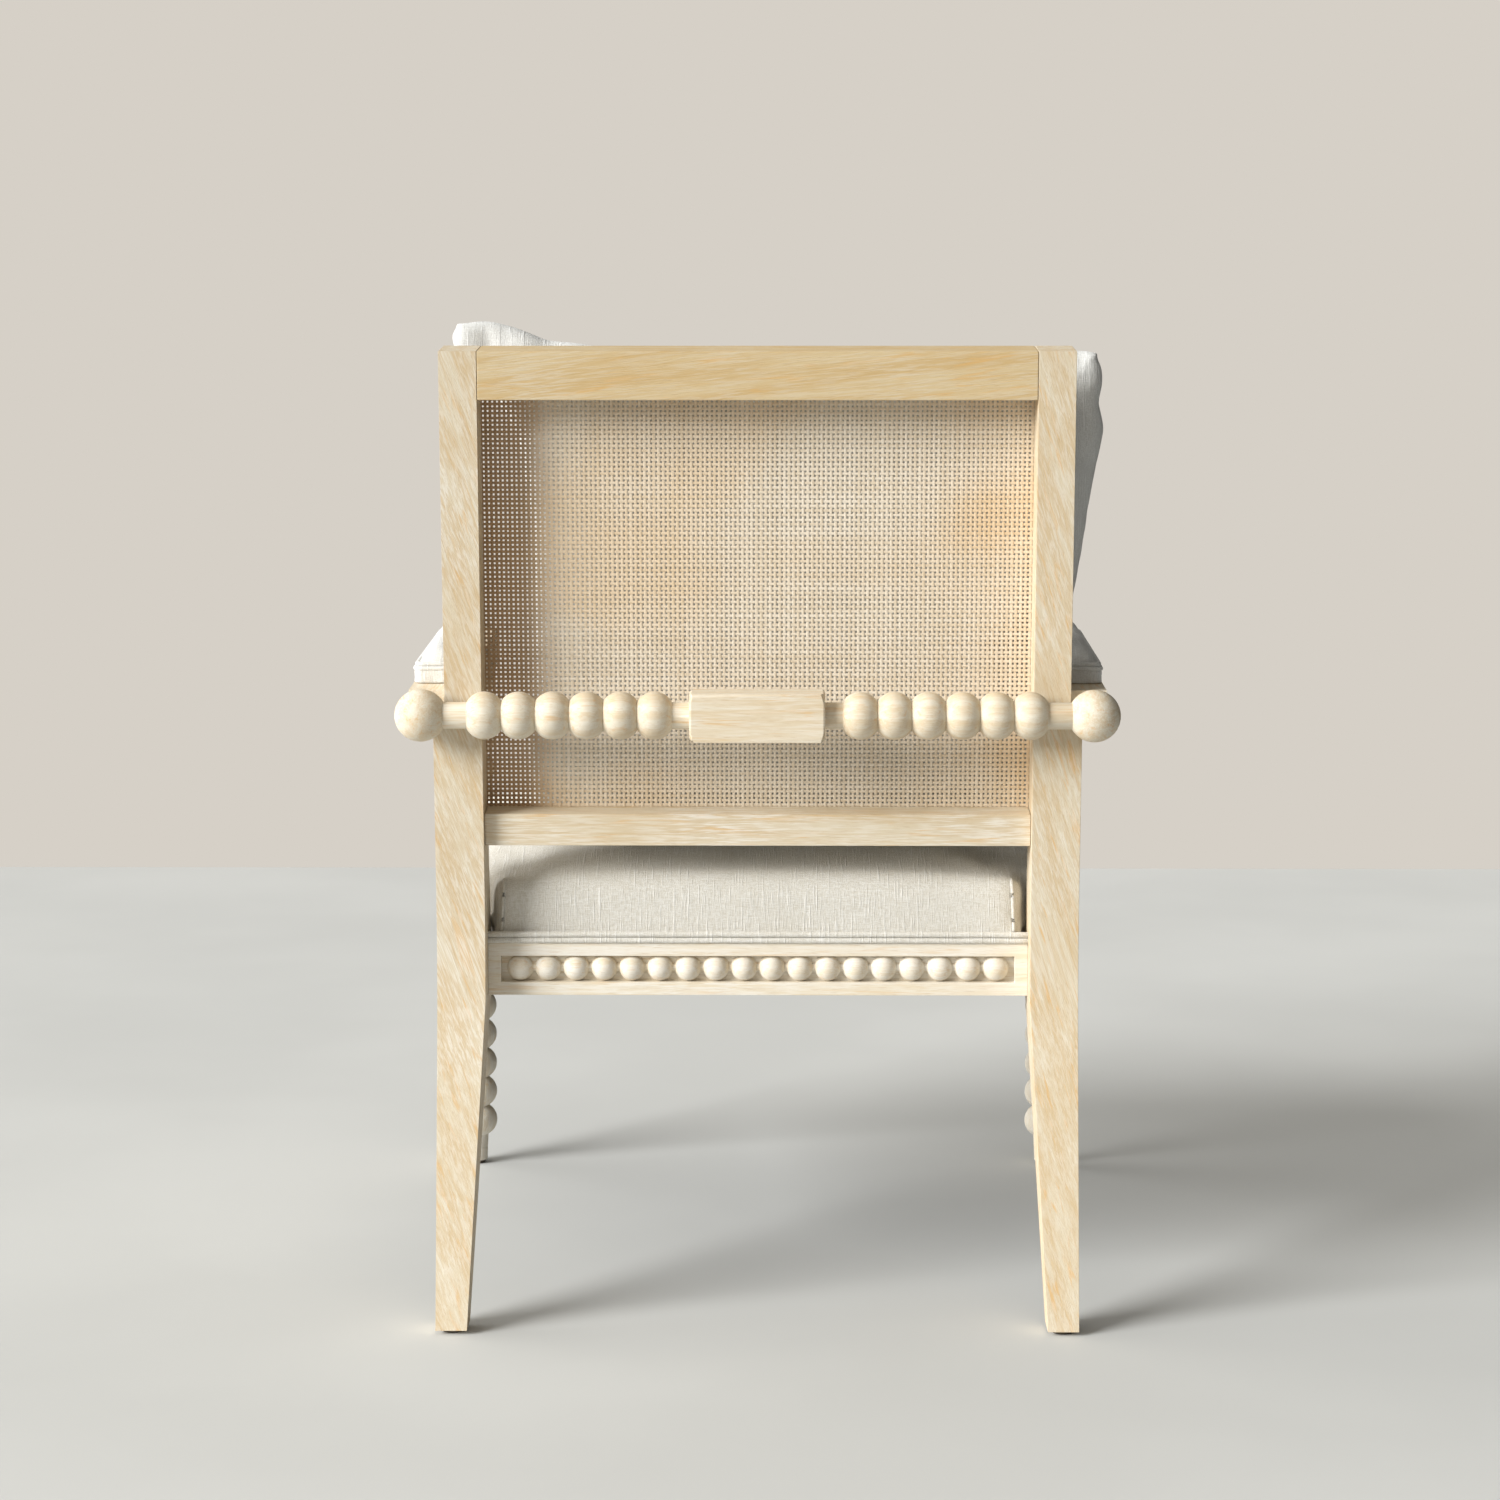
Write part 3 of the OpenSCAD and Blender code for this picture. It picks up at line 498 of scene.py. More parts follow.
STRAND_PITCH = 4.2 * MM
STRAND_HALF = 1.25 * MM
STRAND_THIN = 0.25 * MM
STRAND_WAVE = 0.45 * MM
STRAND_DRIFT = 0.012 * MM
STRAND_OFFSET = 0.07 * MM
STRAND_UNEVEN = 0.08
# Depth of the weave's middle under the panel's rear face, and the strands' distance from the panel's edge
WEAVE_DEPTH = 0.8 * MM
WEAVE_EDGE = 1.5 * MM


def strands(positions_across, stations, along_is_up, phase, rng):
    """Vertices and quads of lens-shaped strands that pass over and under at every station."""
    count, stations_count = len(positions_across), len(stations)
    corner_aside = np.array([-STRAND_HALF, 0, STRAND_HALF, 0])
    corner_back = np.array([0, STRAND_THIN, 0, -STRAND_THIN])
    wander = np.cumsum(rng.normal(0, STRAND_DRIFT, (count, stations_count)), axis=1)
    wander -= np.linspace(0, 1, stations_count) * wander[:, -1:]
    width = 1 + rng.uniform(-STRAND_UNEVEN, STRAND_UNEVEN, (count, 1))
    aside = positions_across[:, None] + wander + rng.normal(0, STRAND_OFFSET, (count, 1))
    is_over = (np.arange(count)[:, None] + np.arange(stations_count)) % 2 == phase
    over = np.where(is_over, STRAND_WAVE, -STRAND_WAVE)
    aside = aside[:, :, None] + corner_aside * width[:, :, None]
    back = over[:, :, None] + corner_back
    along = np.broadcast_to(stations[None, :, None], aside.shape)
    grid = np.stack([aside, along, back] if along_is_up else [along, aside, back], axis=-1)
    index = np.arange(count * stations_count * 4).reshape(count, stations_count, 4)
    low, high = index[:, :-1], index[:, 1:]
    sides = np.stack([low, np.roll(low, -1, 2), np.roll(high, -1, 2), high], axis=-1)
    caps = np.concatenate([index[:, 0, ::-1], index[:, -1]])
    return grid.reshape(-1, 3), np.concatenate([sides.reshape(-1, 4), caps.reshape(-1, 4)])


def cane_weave(warp_material, weft_material):
    """The woven sheet: one flat strand over and under the next, both ways."""
    rng = np.random.default_rng(11)
    left, right = span("cane_panel", ACROSS)
    low, high = span("cane_panel", UP_RAKE)
    middle = span("cane_panel", BACKWARDS)[1] - WEAVE_DEPTH
    xs = np.arange(left + WEAVE_EDGE, right - WEAVE_EDGE, STRAND_PITCH)
    ups = np.arange(low + WEAVE_EDGE, high - WEAVE_EDGE, STRAND_PITCH)
    warp_places, warp_faces = strands(xs, ups, True, 0, rng)
    weft_places, weft_faces = strands(ups, xs, False, 1, rng)
    local = np.concatenate([warp_places, weft_places])
    basis = np.array([ACROSS, UP_RAKE, BACKWARDS])
    world = local @ basis + np.array(BACKWARDS) * middle
    faces = np.concatenate([warp_faces, weft_faces + len(warp_places)])
    mesh = bpy.data.meshes.new("cane_weave")
    mesh.from_pydata(world.tolist(), [], faces.tolist())
    mesh.polygons.foreach_set("material_index", np.repeat([0, 1], [len(warp_faces), len(weft_faces)]))
    mesh.shade_smooth()
    mesh.set_sharp_from_angle(angle=math.radians(50))
    piece = new_object("cane_weave", mesh, warp_material, weft_material)
    return finish_piece(piece, "frame", "cane", "cane_panel")


# ---------- Seat ----------

SEAT_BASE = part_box("seat_cover")[0].z
SEAT_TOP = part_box("seat_cover")[1].z
SEAT_DROP = 33 * MM
SEAT_SHOULDER = 27 * MM
SEAT_SWELL = 2 * MM
SEAT_VOXEL = 7 * MM
SEAT_HEM = 9 * MM
WELT_WAVER = 0.25 * MM
SEAM_RADIUS = 1.6 * MM
SEAM_HEIGHT = 46 * MM
SEAM_STEPS = 12
SEAM_INSET = 12 * MM
SEAM_LEAN = 2 * MM
SEAM_PROUD = 1.1 * MM
SEAM_START = 20 * MM


def seat_outline(open_in, notch_in):
    """Corners of the seat's plan, drawn in by one distance at its open sides and another at the notches."""
    low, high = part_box("seat_cover")
    rail = np.array([v.co for v in NODES["side_seat_rail_left"].data.vertices])
    joint_y, front_y = rail[:, 1].max(), rail[:, 1].min()
    rear_x = rail[rail[:, 1] > joint_y - MM][:, 0].max()
    front_x = rail[:, 0].max()
    rail_set = front_x - high.x - 0.25 * MM
    slope = (front_x - rear_x) / (joint_y - front_y)

    def side(y):
        return rear_x + (joint_y - y) * slope - rail_set - open_in

    leg_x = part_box("rear_seat_rail")[1].x - notch_in
    post_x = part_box("front_seat_rail")[1].x - notch_in
    leg_y, post_y = joint_y - notch_in, front_y + notch_in
    half = [
        (leg_x, high.y - open_in), (leg_x, leg_y), (side(leg_y), leg_y),
        (side(post_y), post_y), (post_x, post_y), (post_x, low.y + open_in),
    ]
    return half + [(-x, y) for x, y in reversed(half)]


def seat_surface(x, y):
    """Heights of the crowned seat, lowest at its corners."""
    low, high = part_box("seat_cover")
    across = x / (high.x - SEAT_SHOULDER)
    along = (y - (low.y + high.y) / 2) / ((high.y - low.y) / 2)
    return SEAT_TOP - 1 * MM - SEAT_DROP * np.sqrt(across ** 4 + along ** 4)


def seat_cover(material):
    bm = bmesh.new()
    corners = [bm.verts.new((x, y, SEAT_BASE)) for x, y in seat_outline(1.5 * MM, 4.5 * MM)]
    base = bm.faces.new(corners)
    raised = bmesh.ops.extrude_face_region(bm, geom=[base])["geom"]
    height = SEAT_TOP - SEAT_BASE
    for vert in (item for item in raised if isinstance(item, bmesh.types.BMVert)):
        vert.co.z += height
    piece = remeshed("seat_upholstery", bm, SEAT_VOXEL, material)
    places = positions(piece)
    share = (places[:, 2] - SEAT_BASE) / height
    tops = seat_surface(places[:, 0], places[:, 1])
    places[:, 2] = SEAT_BASE + np.clip(share, 0, 1) * (tops - SEAT_BASE)
    set_positions(piece, places)
    held = np.nonzero(places[:, 2] < SEAT_BASE + SEAT_HEM)[0]
    smoothed(piece, 5, held)
    inflate(piece, held, 4.0, 6 * MM, spare=0.02)
    smoothed(piece, 1, held)
    places = positions(piece)
    places[:, 2] = np.minimum(places[:, 2], SEAT_TOP + SEAT_SWELL)
    set_positions(piece, places)
    subdivide(piece)
    finish_piece(piece, "frame", "linen", "seat_cover", "seat_foam")
    return piece


def seat_welts(material):
    """Double welt along the base of the seat, broken at the legs and arm supports."""
    low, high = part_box("seat_welt")
    radius = (high.z - low.z) / 4
    outline = seat_outline(-radius - 0.05 * MM, 0.4 * MM)
    steps = 60
    tubes = []
    for level, height in enumerate((low.z + radius, low.z + 3 * radius)):
        for index, (start, end) in enumerate(((11, 0), (2, 3), (5, 6), (8, 9))):
            a, b = Vector((*outline[start], height)), Vector((*outline[end], height))
            points = [a.lerp(b, k / steps) for k in range(steps + 1)]
            for point in points:
                point.z += WELT_WAVER * noise.noise(point * 40)
            tubes.append(tube(f"seat_welt_{index}_{level}", points, radius, material))
    return tubes


def seat_seams(cover, material):
    """Piped seam up the cover at each of its four corners, laid on the cover's own surface."""
    mesh = cover.data
    surface = BVHTree.FromPolygons([v.co for v in mesh.vertices], [p.vertices for p in mesh.polygons])
    outline = seat_outline(0, 0.4 * MM)
    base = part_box("seat_welt")[1].z
    low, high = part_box("seat_cover")
    tubes = []
    for name, x, y, way in (("rear", outline[0][0], high.y, 1), ("front", outline[5][0], low.y, -1)):
        for side, hand in ((-1, "right"), (1, "left")):
            points = []
            for k in range(SEAM_STEPS + 1):
                share = k / SEAM_STEPS
                across = side * (x - SEAM_INSET - SEAM_LEAN * share)
                outside = Vector((across, y + way * SEAM_START, base + share * SEAM_HEIGHT))
                hit = surface.ray_cast(outside, Vector((0, -way, 0)))[0]
                points.append(hit + Vector((0, way * SEAM_PROUD, 0)))
            tubes.append(tube(f"seat_seam_{name}_{hand}", points, SEAM_RADIUS, material))
    return tubes


# ---------- Back cushion ----------

CUSHION_COLS = 60
CUSHION_ROWS = 50
# Power of the curve that rounds the outline's corners: the higher, the sharper they are
CUSHION_CORNER = 9
# How far the cushion's ears may stand over its solid, and how far its front may swell past it
EAR_RISE = 14 * MM
FRONT_SWELL = 4 * MM
# The seam's distance from the cushion's rear, and the fullness of its two faces, as shares of its thickness
SEAM_SHARE = 0.38
REAR_FULLNESS = 0.42
FRONT_FULLNESS = 0.52
# Folds at the corners: their depth, their reach, and how many fit into one turn
PUCKER_DEPTH = 3.4 * MM
PUCKER_REACH = 75 * MM
PUCKER_COUNT = 17
# Half of the cushion's width where it stands between the arm pads, and how far that reaches over them
BETWEEN_PADS = 265 * MM
OVER_PADS = 12 * MM
# What the outline is drawn past the solid's ends, as its rounded corners draw it in again
CUSHION_FOOT = 3 * MM
CUSHION_HEAD = 16 * MM
# The cushion's distance from the frame behind it and under it
REST_GAP = 0.3 * MM
FOOT_GAP = 0.5 * MM
FINAL_GAP = 0.2 * MM


def smoothstep(low, high, value):
    t = min(1, max(0, (value - low) / (high - low)))
    return t * t * (3 - 2 * t)


def stops(value, *pairs):
    """A value that runs straight from stop to stop, each given as its place and its value."""
    return float(np.interp(value, [place for place, _ in pairs], [number for _, number in pairs]))


def cushion_sides(t):
    """The cushion's right and left edges at share t of its height, in metres: ears at the top."""
    right = stops(t, (0, -0.262), (0.38, -0.268), (0.42, -0.292), (0.54, -0.303), (0.7, -0.313),
                  (0.8, -0.320), (0.86, -0.316), (0.92, -0.326), (0.97, -0.335), (1, -0.336))
    left = stops(t, (0, 0.222), (0.15, 0.214), (0.6, 0.213), (0.76, 0.225), (0.84, 0.25),
                 (0.9, 0.283), (0.94, 0.297), (1, 0.3))
    return right, left


def cushion_drop(s):
    """How far the top edge hangs below the left ear, in metres, from the right (-1) to the left (1)."""
    return stops(s, (-1, 0.028), (-0.9, 0.028), (-0.78, 0.043), (-0.3, 0.052), (0.2, 0.048), (0.5, 0.038),
                 (0.66, 0.032), (0.82, 0.01), (0.92, 0), (1, -0.002))


def cushion_pucker(x, up, corners):
    """Folds that fan out from the cushion's corners and die away towards its middle."""
    height = 0
    for number, (corner_x, corner_up) in enumerate(corners):
        away = math.hypot(x - corner_x, up - corner_up)
        turn = math.atan2(up - corner_up, x - corner_x)
        strength = smoothstep(10 * MM, 45 * MM, away) * math.exp(-away / PUCKER_REACH)
        wander = noise.noise(Vector((x * 9, up * 9, number)))
        height += strength * math.sin(PUCKER_COUNT * turn + 2.4 * wander + number)
    broad = noise.noise(Vector((x * 7, up * 5, 3.7))) * 0.55
    return PUCKER_DEPTH * (height + broad)


def cushion_outline(i, j, low, high):
    """A grid point's place on the square, with that square's corners rounded, and its x and height."""
    s, t = 2 * i / CUSHION_COLS - 1, 2 * j / CUSHION_ROWS - 1
    if s or t:
        reach = (abs(s) ** CUSHION_CORNER + abs(t) ** CUSHION_CORNER) ** (1 / CUSHION_CORNER)
        rounding = max(abs(s), abs(t)) / reach
        s, t = s * rounding, t * rounding
    share = (t + 1) / 2
    right, left = cushion_sides(share)
    x = right + (left - right) * (s + 1) / 2
    rise = smoothstep(0.55, 1, share)
    up = low + CUSHION_FOOT + (high + CUSHION_HEAD - low) * share - cushion_drop(s) * rise
    return s, t, x, up


def cushion_mesh(low, high, front, rear, material):
    """Two puffed faces over one outline, and the numbers of the points along their shared seam."""
    def outline(i, j):
        return cushion_outline(i, j, low, high)

    thick = rear - front
    seam = rear - SEAM_SHARE * thick
    corners = [outline(i, j)[2:] for i in (0, CUSHION_COLS) for j in (0, CUSHION_ROWS)]
    verts, faces, index = [], [], {}
    for face in (1, -1):
        fullness = REAR_FULLNESS if face == 1 else FRONT_FULLNESS
        for j in range(CUSHION_ROWS + 1):
            for i in range(CUSHION_COLS + 1):
                if on_seam(i, j) and face == -1:
                    index[face, i, j] = index[1, i, j]
                    continue
                s, t, x, up = outline(i, j)
                round_s = 1 - abs(s) ** 2.6
                round_t = 1 - abs(t) ** 2.8
                puff = max(0, round_s * round_t) ** 0.47
                pucker = cushion_pucker(x, up, corners) * puff ** 0.5 * face
                back = seam + face * (fullness * thick) * puff + pucker
                index[face, i, j] = len(verts)
                verts.append(on_rake(x, up, min(back, rear - REST_GAP)))
    for face in (1, -1):
        for j in range(CUSHION_ROWS):
            for i in range(CUSHION_COLS):
                ring = [index[face, *corner] for corner in ((i, j), (i + 1, j), (i + 1, j + 1), (i, j + 1))]
                faces.append(ring if face == -1 else ring[::-1])
    mesh = bpy.data.meshes.new("back_cushion")
    mesh.from_pydata([tuple(v) for v in verts], [], faces)
    mesh.update()
    mesh.shade_smooth()
    rim = [index[1, i, j] for i in range(CUSHION_COLS + 1) for j in range(CUSHION_ROWS + 1) if on_seam(i, j)]
    return new_object("back_cushion", mesh, material), rim


def on_seam(i, j):
    return i in (0, CUSHION_COLS) or j in (0, CUSHION_ROWS)


def back_cushion(material):
    low, high = span("back_cushion_cover", UP_RAKE)
    front, rear = span("back_cushion_cover", BACKWARDS)
    piece, rim = cushion_mesh(low, high, front, rear, material)
    inflate(piece, rim, 4.0, 14 * MM, inward=8 * MM, spare=0.035, stiffness=9.0)
    places = positions(piece)
    basis = np.array([ACROSS, UP_RAKE, BACKWARDS])
    local = places @ basis.T
    local[:, 2] = np.clip(local[:, 2], front - FRONT_SWELL, rear - REST_GAP)
    local[:, 1] = np.clip(local[:, 1], low + FOOT_GAP, high + EAR_RISE)
    beside = places[:, 2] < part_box("arm_pad_left")[1].z + OVER_PADS
    local[beside, 0] = np.clip(local[beside, 0], -BETWEEN_PADS, BETWEEN_PADS)
    set_positions(piece, local @ basis)
    subdivide(piece)
    local = positions(piece) @ basis.T
    local[:, 2] = np.minimum(local[:, 2], rear - FINAL_GAP)
    set_positions(piece, local @ basis)
    finish_piece(piece, "cushion", "cushion_cloth", "back_cushion_cover", "back_cushion_filling")


# ---------- Arm pads ----------

BAND_H = 13 * MM
PAD_VOXEL = 4 * MM
PAD_WELT_RADIUS = 2.2 * MM
# The dome stands this far inside the band, this much lower than the pad's solid, and this round at its ends
DOME_INSET = 5 * MM
DOME_DROP = 9 * MM
DOME_END_FALL = 9 * MM
DOME_END_LENGTH = 7 * MM


def pad_frame(side):
    """The rear middle of a pad's base, its forward direction, its length, width and height."""
    node = f"arm_pad_{side}"
    places = np.array([v.co for v in NODES[node].data.vertices])
    low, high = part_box(node)
    reach = 2.5 * MM
    rear = places[places[:, 1] > high.y - reach]
    front = places[places[:, 1] < low.y + reach]

    def middle(ends):
        return Vector((ends[:, 0].min() + ends[:, 0].max(), ends[:, 1].min() + ends[:, 1].max(), 0)) / 2

    start, stop = middle(rear), middle(front)
    forward = (stop - start).normalized()
    width = rear[:, 0].max() - rear[:, 0].min()
    return start + Vector((0, 0, low.z)), forward, (stop - start).length, width, high.z - low.z


def rounded_plan(length, width, radius, steps=5):
    """Points round a rectangle with rounded corners, from its rear end forwards."""
    points = []
    corners = ((1, 1), (-1, 1), (-1, 0), (1, 0))
    for number, (side, far) in enumerate(corners):
        centre_x = side * (width / 2 - radius)
        centre_y = length - radius if far else radius
        for k in range(steps + 1):
            turn = math.pi / 2 * (number + k / steps)
            points.append((centre_x + radius * math.cos(turn), centre_y + radius * math.sin(turn)))
    return points


def pad_block(name, place, forward, plan, z_low, z_high, material):
    """A block over a plan, placed on the arm and rebuilt in even cells."""
    aside = Vector((-forward.y, forward.x, 0))
    bm = bmesh.new()
    corners = [bm.verts.new(place + aside * x + forward * y + Vector((0, 0, z_low))) for x, y in plan]
    base = bm.faces.new(corners)
    raised = bmesh.ops.extrude_face_region(bm, geom=[base])["geom"]
    for vert in (item for item in raised if isinstance(item, bmesh.types.BMVert)):
        vert.co.z += z_high - z_low
    return remeshed(name, bm, PAD_VOXEL, material)


def pad_band(side, place, forward, length, width, material):
    """The pad's upright side."""
    plan = rounded_plan(length, width - 1.5 * MM, 5 * MM)
    band = pad_block(f"arm_pad_band_{side}", place, forward, plan, 0.3 * MM, BAND_H, material)
    held = np.nonzero(positions(band)[:, 2] < place.z + 3 * MM)[0]
    smoothed(band, 1, held)
    inflate(band, held, 3.0, 1.5 * MM, spare=0.01)
    subdivide(band)
    finish_piece(band, "frame", "linen")


def pad_dome(side, place, forward, length, width, height, material):
    """The pad's stuffed top, round across and falling off at both ends."""
    aside = Vector((-forward.y, forward.x, 0))
    inner_l, inner_w = length - 2 * DOME_INSET, width - 2 * DOME_INSET
    plan = [(x, y + DOME_INSET) for x, y in rounded_plan(inner_l, inner_w, 9 * MM)]
    base, top = BAND_H - 3 * MM, height - 3 * MM
    dome = pad_block(f"arm_pad_dome_{side}", place, forward, plan, base, top, material)
    places = positions(dome)
    local = places - np.array(place)
    across = local @ np.array(aside)
    along = local @ np.array(forward)
    end = np.minimum(along - DOME_INSET, length - DOME_INSET - along)
    crown = inner_w / 2 + 1 * MM
    fall = crown - np.sqrt(np.maximum(crown ** 2 - across ** 2, 0))
    fall += DOME_END_FALL * np.exp(-np.maximum(end, 0) / DOME_END_LENGTH)
    share = np.clip((local[:, 2] - BAND_H) / (height - BAND_H), 0, 1)
    places[:, 2] -= (fall + DOME_DROP) * share
    set_positions(dome, places)
    held = np.nonzero(places[:, 2] < place.z + BAND_H + 1 * MM)[0]
    smoothed(dome, 4, held)
    inflate(dome, held, 4.0, 3 * MM, spare=0.02)
    subdivide(dome)
    finish_piece(dome, "frame", "linen", f"arm_pad_{side}")


def pad_welts(side, place, forward, length, width, material):
    """Two cords round the top of the band, the upper one further in."""
    aside = Vector((-forward.y, forward.x, 0))
    for level, (drawn_in, lift) in enumerate(((2.0 * MM, 0.4), (3.6 * MM, 2.2))):
        ring = rounded_plan(length - 2 * drawn_in, width - 2 * drawn_in, 7 * MM, 6)
        lifted = place + Vector((0, 0, BAND_H + PAD_WELT_RADIUS * lift))
        points = densified([lifted + aside * x + forward * (y + drawn_in) for x, y in ring], 6 * MM)
        welt = tube(f"arm_pad_welt_{side}_{level}", points, PAD_WELT_RADIUS, material, closed=True)
        nodes = (f"arm_pad_welt_{side}",) if level == 0 else ()
        finish_piece(welt, "frame", "linen", *nodes)


def arm_pad(side, material):
    place, forward, length, width, height = pad_frame(side)
    pad_band(side, place, forward, length, width, material)
    pad_dome(side, place, forward, length, width, height, material)
    pad_welts(side, place, forward, length, width, material)


def densified(points, step):
    """A closed run of points with more set between those that lie far apart."""
    dense = []
    for a, b in zip(points, points[1:] + points[:1]):
        pieces = max(1, int((b - a).length / step))
        dense += [a.lerp(b, k / pieces) for k in range(pieces)]
    return dense


# ---------- Build ----------

RAIL_EASE = 0.8 * MM


def dress_wood():
    left_leg = honey_oak("oak_leg_left", "Z", 1, tilt=math.radians(20), lime_share=0.62)
    right_leg = honey_oak("oak_leg_right", "Z", 2, tilt=math.radians(17), gold_share=0.65, lime_share=0.45)
    softened("rear_leg_left", left_leg, "limed_oak")
    softened("rear_leg_right", right_leg, "limed_oak")
    top_oak = gold_oak("oak_top_rail", "X", 3, tilt=math.radians(6), gold_share=0.55, lime_share=0.8)
    lower_oak = honey_oak("oak_lower_rail", "X", 4, lime_share=0.8)
    softened("back_top_rail", top_oak, "limed_oak", joint=0.35 * MM)
    softened("back_lower_rail", lower_oak, "limed_oak", joint=0.25 * MM)
    for number, side in enumerate(("left", "right")):
        softened(f"arm_{side}", chalky_oak(f"oak_arm_{side}", "Y", 5 + number), "limed_oak", sharpest=50)
    rail_oak = pale_oak("oak_seat_rails_x", "X", 8)
    side_oak = pale_oak("oak_seat_rails_y", "Y", 9)
    softened("rear_seat_rail", rail_oak, "washed_oak", width=RAIL_EASE)
    softened("front_seat_rail", rail_oak, "washed_oak", width=RAIL_EASE)
    softened("side_seat_rail_left", side_oak, "washed_oak", width=RAIL_EASE)
    softened("side_seat_rail_right", side_oak, "washed_oak", width=RAIL_EASE)
    turned("back_bobbin_rail", chalky_oak("oak_bobbin_rail", "X", 10, lime_share=0.5), "limed_oak")
    turned("front_leg_left", pale_oak("oak_front_leg_left", "Z", 11), "washed_oak")
    turned("front_leg_right", pale_oak("oak_front_leg_right", "Z", 12), "washed_oak")
    turned("rear_bead_moulding", pale_oak("oak_beads_rear", "X", 13), "washed_oak")
    turned("front_bead_moulding", pale_oak("oak_beads_front", "X", 14), "washed_oak")
    beads_side = pale_oak("oak_beads_side", "Y", 15)
    turned("side_bead_moulding_left", beads_side, "washed_oak")
    turned("side_bead_moulding_right", beads_side, "washed_oak")


def dress_node(material, *names):
    for name in names:
        node = NODES[name]
        node.data.materials.clear()
        node.data.materials.append(material)


def dress_hidden():
    beech = oak("beech", "X", 21, srgb(214, 178, 134), srgb(204, 164, 118), srgb(222, 192, 152), 0.1, 0.2)
    dress_node(beech, "corner_blocks", "seat_rail_dowels", "back_rail_dowels", "arm_pad_board_left",
               "arm_pad_board_right")
    dress_node(zinc_steel(), "corner_block_screws", "arm_screws", "arm_pad_screws", "webbing_tacks")
    dress_node(honey_oak("oak_plugs", "Z", 22), "arm_screw_plugs")
    jute = fibrous("jute", srgb(186, 148, 98), srgb(134, 98, 58), 1.2 * MM, 0.95, 0.4 * MM)
    dust_cloth = fibrous("dust_cloth", srgb(72, 70, 68), srgb(48, 46, 45), 0.6 * MM, 0.95, 0.1 * MM)
    nylon = fibrous("glide_nylon", srgb(96, 86, 74), srgb(74, 66, 56), 0.5 * MM, 0.6, 0.05 * MM)
    dress_node(jute, "seat_webbing", "seat_hessian")
    dress_node(dust_cloth, "dust_cover")
    dress_node(nylon, "floor_glides")


def dress_soft():
    natural = linen("natural_linen", srgb(222, 220, 214), srgb(201, 196, 184), srgb(232, 231, 227), 31)
    white = linen("washed_white_linen", srgb(229, 230, 228), srgb(209, 209, 206), srgb(238, 239, 238), 41)
    cover = seat_cover(natural)
    first_welt, *cords = seat_welts(natural) + seat_seams(cover, natural)
    finish_piece(first_welt, "frame", "linen", "seat_welt")
    for cord in cords:
        finish_piece(cord, "frame", "linen")
    for side in ("left", "right"):
        arm_pad(side, white)
    back_cushion(white)


def dress_cane():
    warp = cane_strand("cane_upright", "Z", 51)
    weft = cane_strand("cane_crossing", "X", 61)
    cane_weave(warp, weft)
    dress_node(weft, "cane_spline")


# ---------- Stage ----------

FLOOR_REACH = 2.18


def floor():
    bm = bmesh.new()
    signs = ((-1, -1), (1, -1), (1, 1), (-1, 1))
    corners = [bm.verts.new((x * FLOOR_REACH, y * FLOOR_REACH, 0)) for x, y in signs]
    bm.faces.new(corners)
    graph = Graph("pale_floor", 0.7, specular=0.2)
    cloud = graph.noise((0.5, 0.5, 0.5), 71, 3.0)
    graph.colour(graph.mix(graph.level(cloud, 0.3, 0.7), srgb(205, 206, 204), srgb(211, 212, 210)))
    piece = from_bmesh("floor", bm, graph.material)


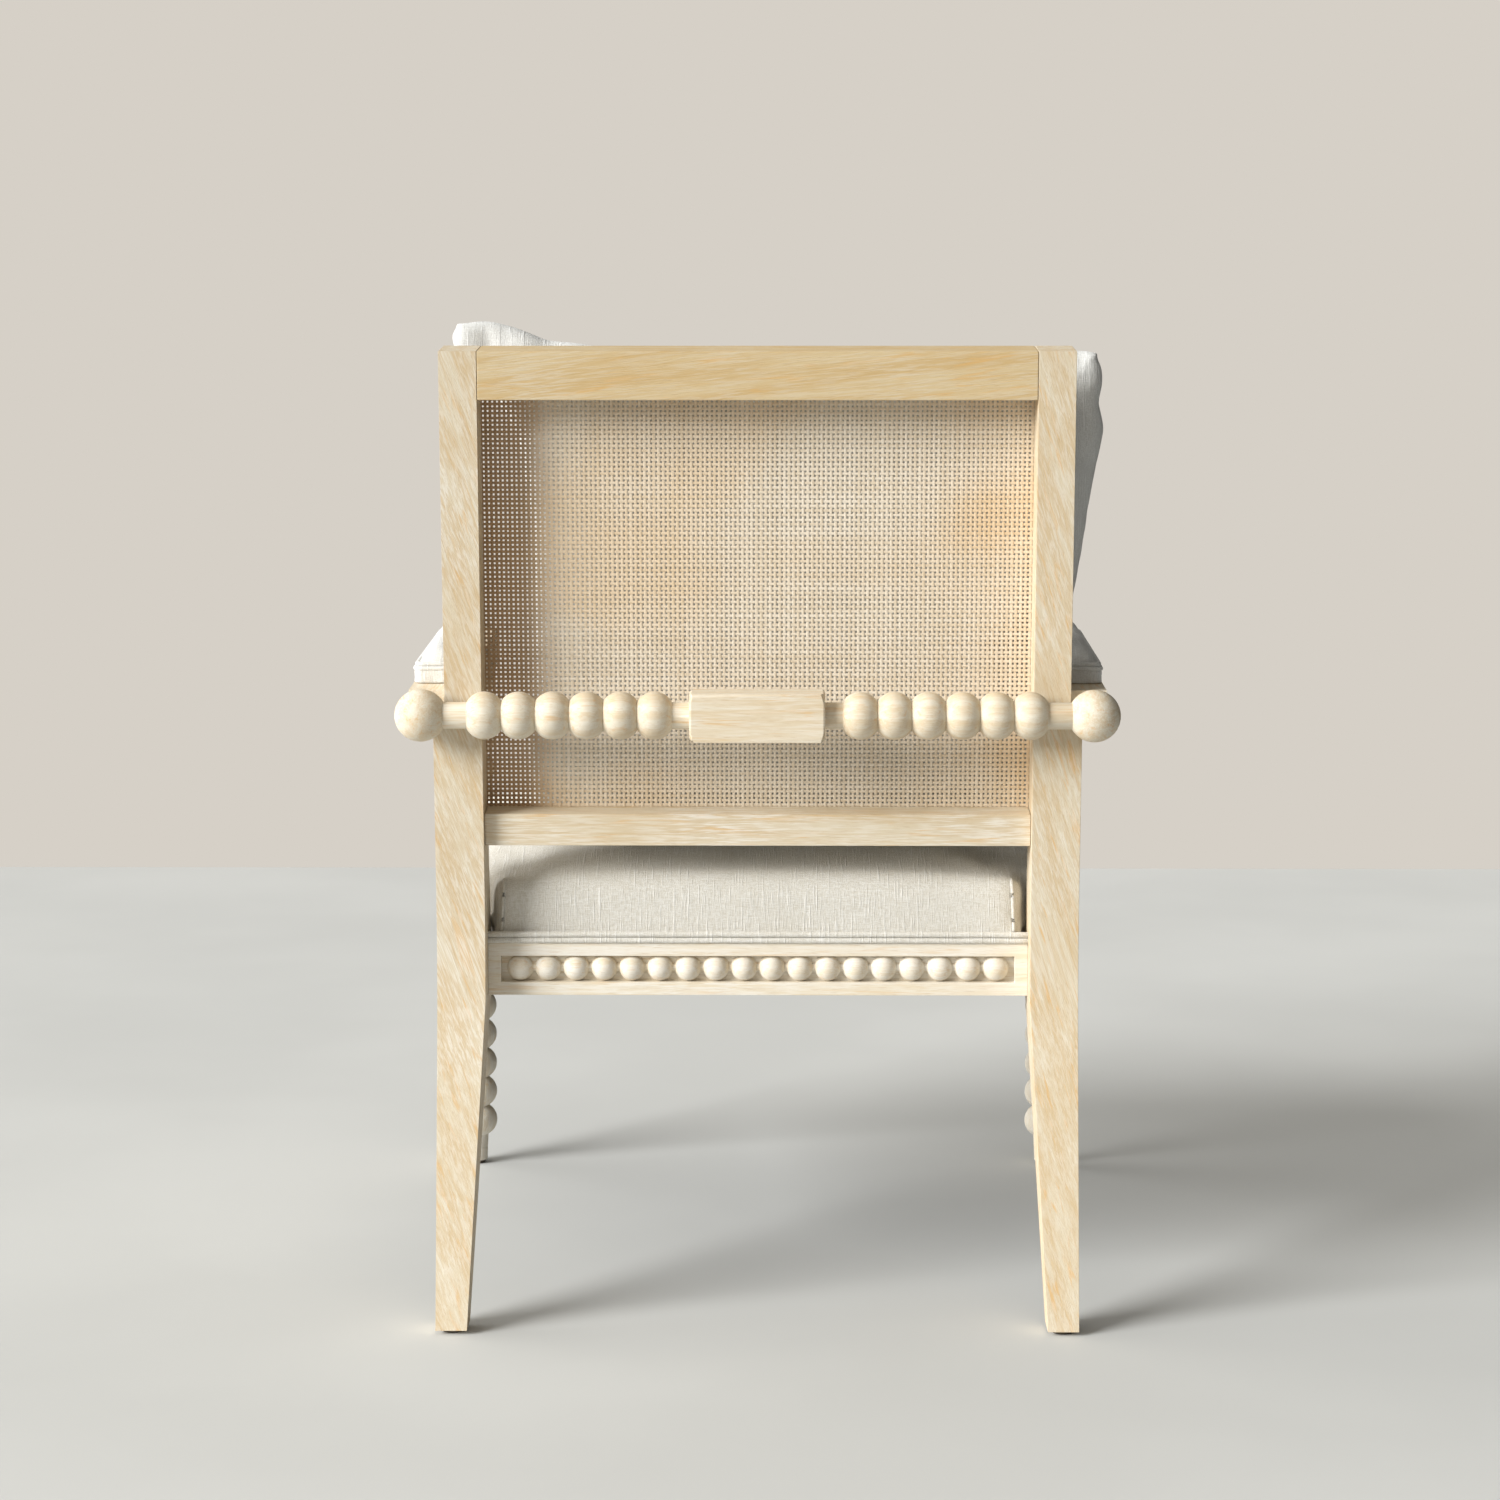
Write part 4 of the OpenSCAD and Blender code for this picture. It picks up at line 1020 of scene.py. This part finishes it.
def backdrop(seen, ambient, least, most, brightest):
    """A pale wall colour behind, and soft ambient light that grows towards the room's brightest side."""
    world = bpy.data.worlds.new("room")
    SCENE.world = world
    world.use_nodes = True
    tree = world.node_tree
    tree.nodes.clear()
    output = tree.nodes.new("ShaderNodeOutputWorld")
    lamp, wall = tree.nodes.new("ShaderNodeBackground"), tree.nodes.new("ShaderNodeBackground")
    lamp.inputs["Color"].default_value = ambient
    wall.inputs["Color"].default_value = seen
    direction, share = tree.nodes.new("ShaderNodeTexCoord"), tree.nodes.new("ShaderNodeVectorMath")
    share.operation = "DOT_PRODUCT"
    share.inputs[1].default_value = Vector(brightest).normalized()
    across = tree.nodes.new("ShaderNodeMapRange")
    for name, number in (("From Min", -1), ("From Max", 1), ("To Min", least), ("To Max", most)):
        across.inputs[name].default_value = number
    tree.links.new(direction.outputs["Generated"], share.inputs[0])
    tree.links.new(share.outputs["Value"], across.inputs["Value"])
    tree.links.new(across.outputs["Result"], lamp.inputs["Strength"])
    choose, path = tree.nodes.new("ShaderNodeMixShader"), tree.nodes.new("ShaderNodeLightPath")
    tree.links.new(path.outputs["Is Camera Ray"], choose.inputs[0])
    tree.links.new(lamp.outputs[0], choose.inputs[1])
    tree.links.new(wall.outputs[0], choose.inputs[2])
    tree.links.new(choose.outputs[0], output.inputs["Surface"])


def far_light(name, towards, spread, strength, colour):
    """Soft light from one side of the room, as even as that of a large far window."""
    data = bpy.data.lights.new(name, "SUN")
    data.angle = math.radians(spread)
    data.energy = strength
    data.color = colour
    lamp = bpy.data.objects.new(name, data)
    SCENE.collection.objects.link(lamp)
    lamp.rotation_euler = (-Vector(towards)).to_track_quat("-Z", "Y").to_euler()


# The camera stands behind the chair, a little over its back, and looks slightly down
EYE_PLACE = (-0.018, 3.1775, 0.9186)
EYE_HEADING = (0.0086, -1, 0)
EYE_PITCH = math.radians(4.96)


def camera():
    data = bpy.data.cameras.new("camera")
    data.lens = 77.1
    data.sensor_width = 36
    data.shift_y = -0.1
    data.dof.use_dof = False
    eye = bpy.data.objects.new("camera", data)
    SCENE.collection.objects.link(eye)
    eye.location = EYE_PLACE
    heading = Vector(EYE_HEADING).normalized()
    looking = heading * math.cos(EYE_PITCH) - Vector((0, 0, math.sin(EYE_PITCH)))
    eye.rotation_euler = looking.to_track_quat("-Z", "Y").to_euler()
    SCENE.camera = eye


# ---------- Scene ----------

DAYLIGHT = (1.0, 1.0, 0.99)

camera()
SCENE.view_settings.view_transform = "Standard"
floor()
backdrop(srgb(214, 208, 199), srgb(233, 229, 221), -0.35, 0.85, (0.75, 0.3, 0.6))
far_light("window_light", (1.0, 0.62, 0.5), 30, 4.5, DAYLIGHT)
far_light("side_light", (1.0, -0.25, 0.3), 44, 1.1, DAYLIGHT)
dress_wood()
dress_hidden()
dress_cane()
dress_soft()
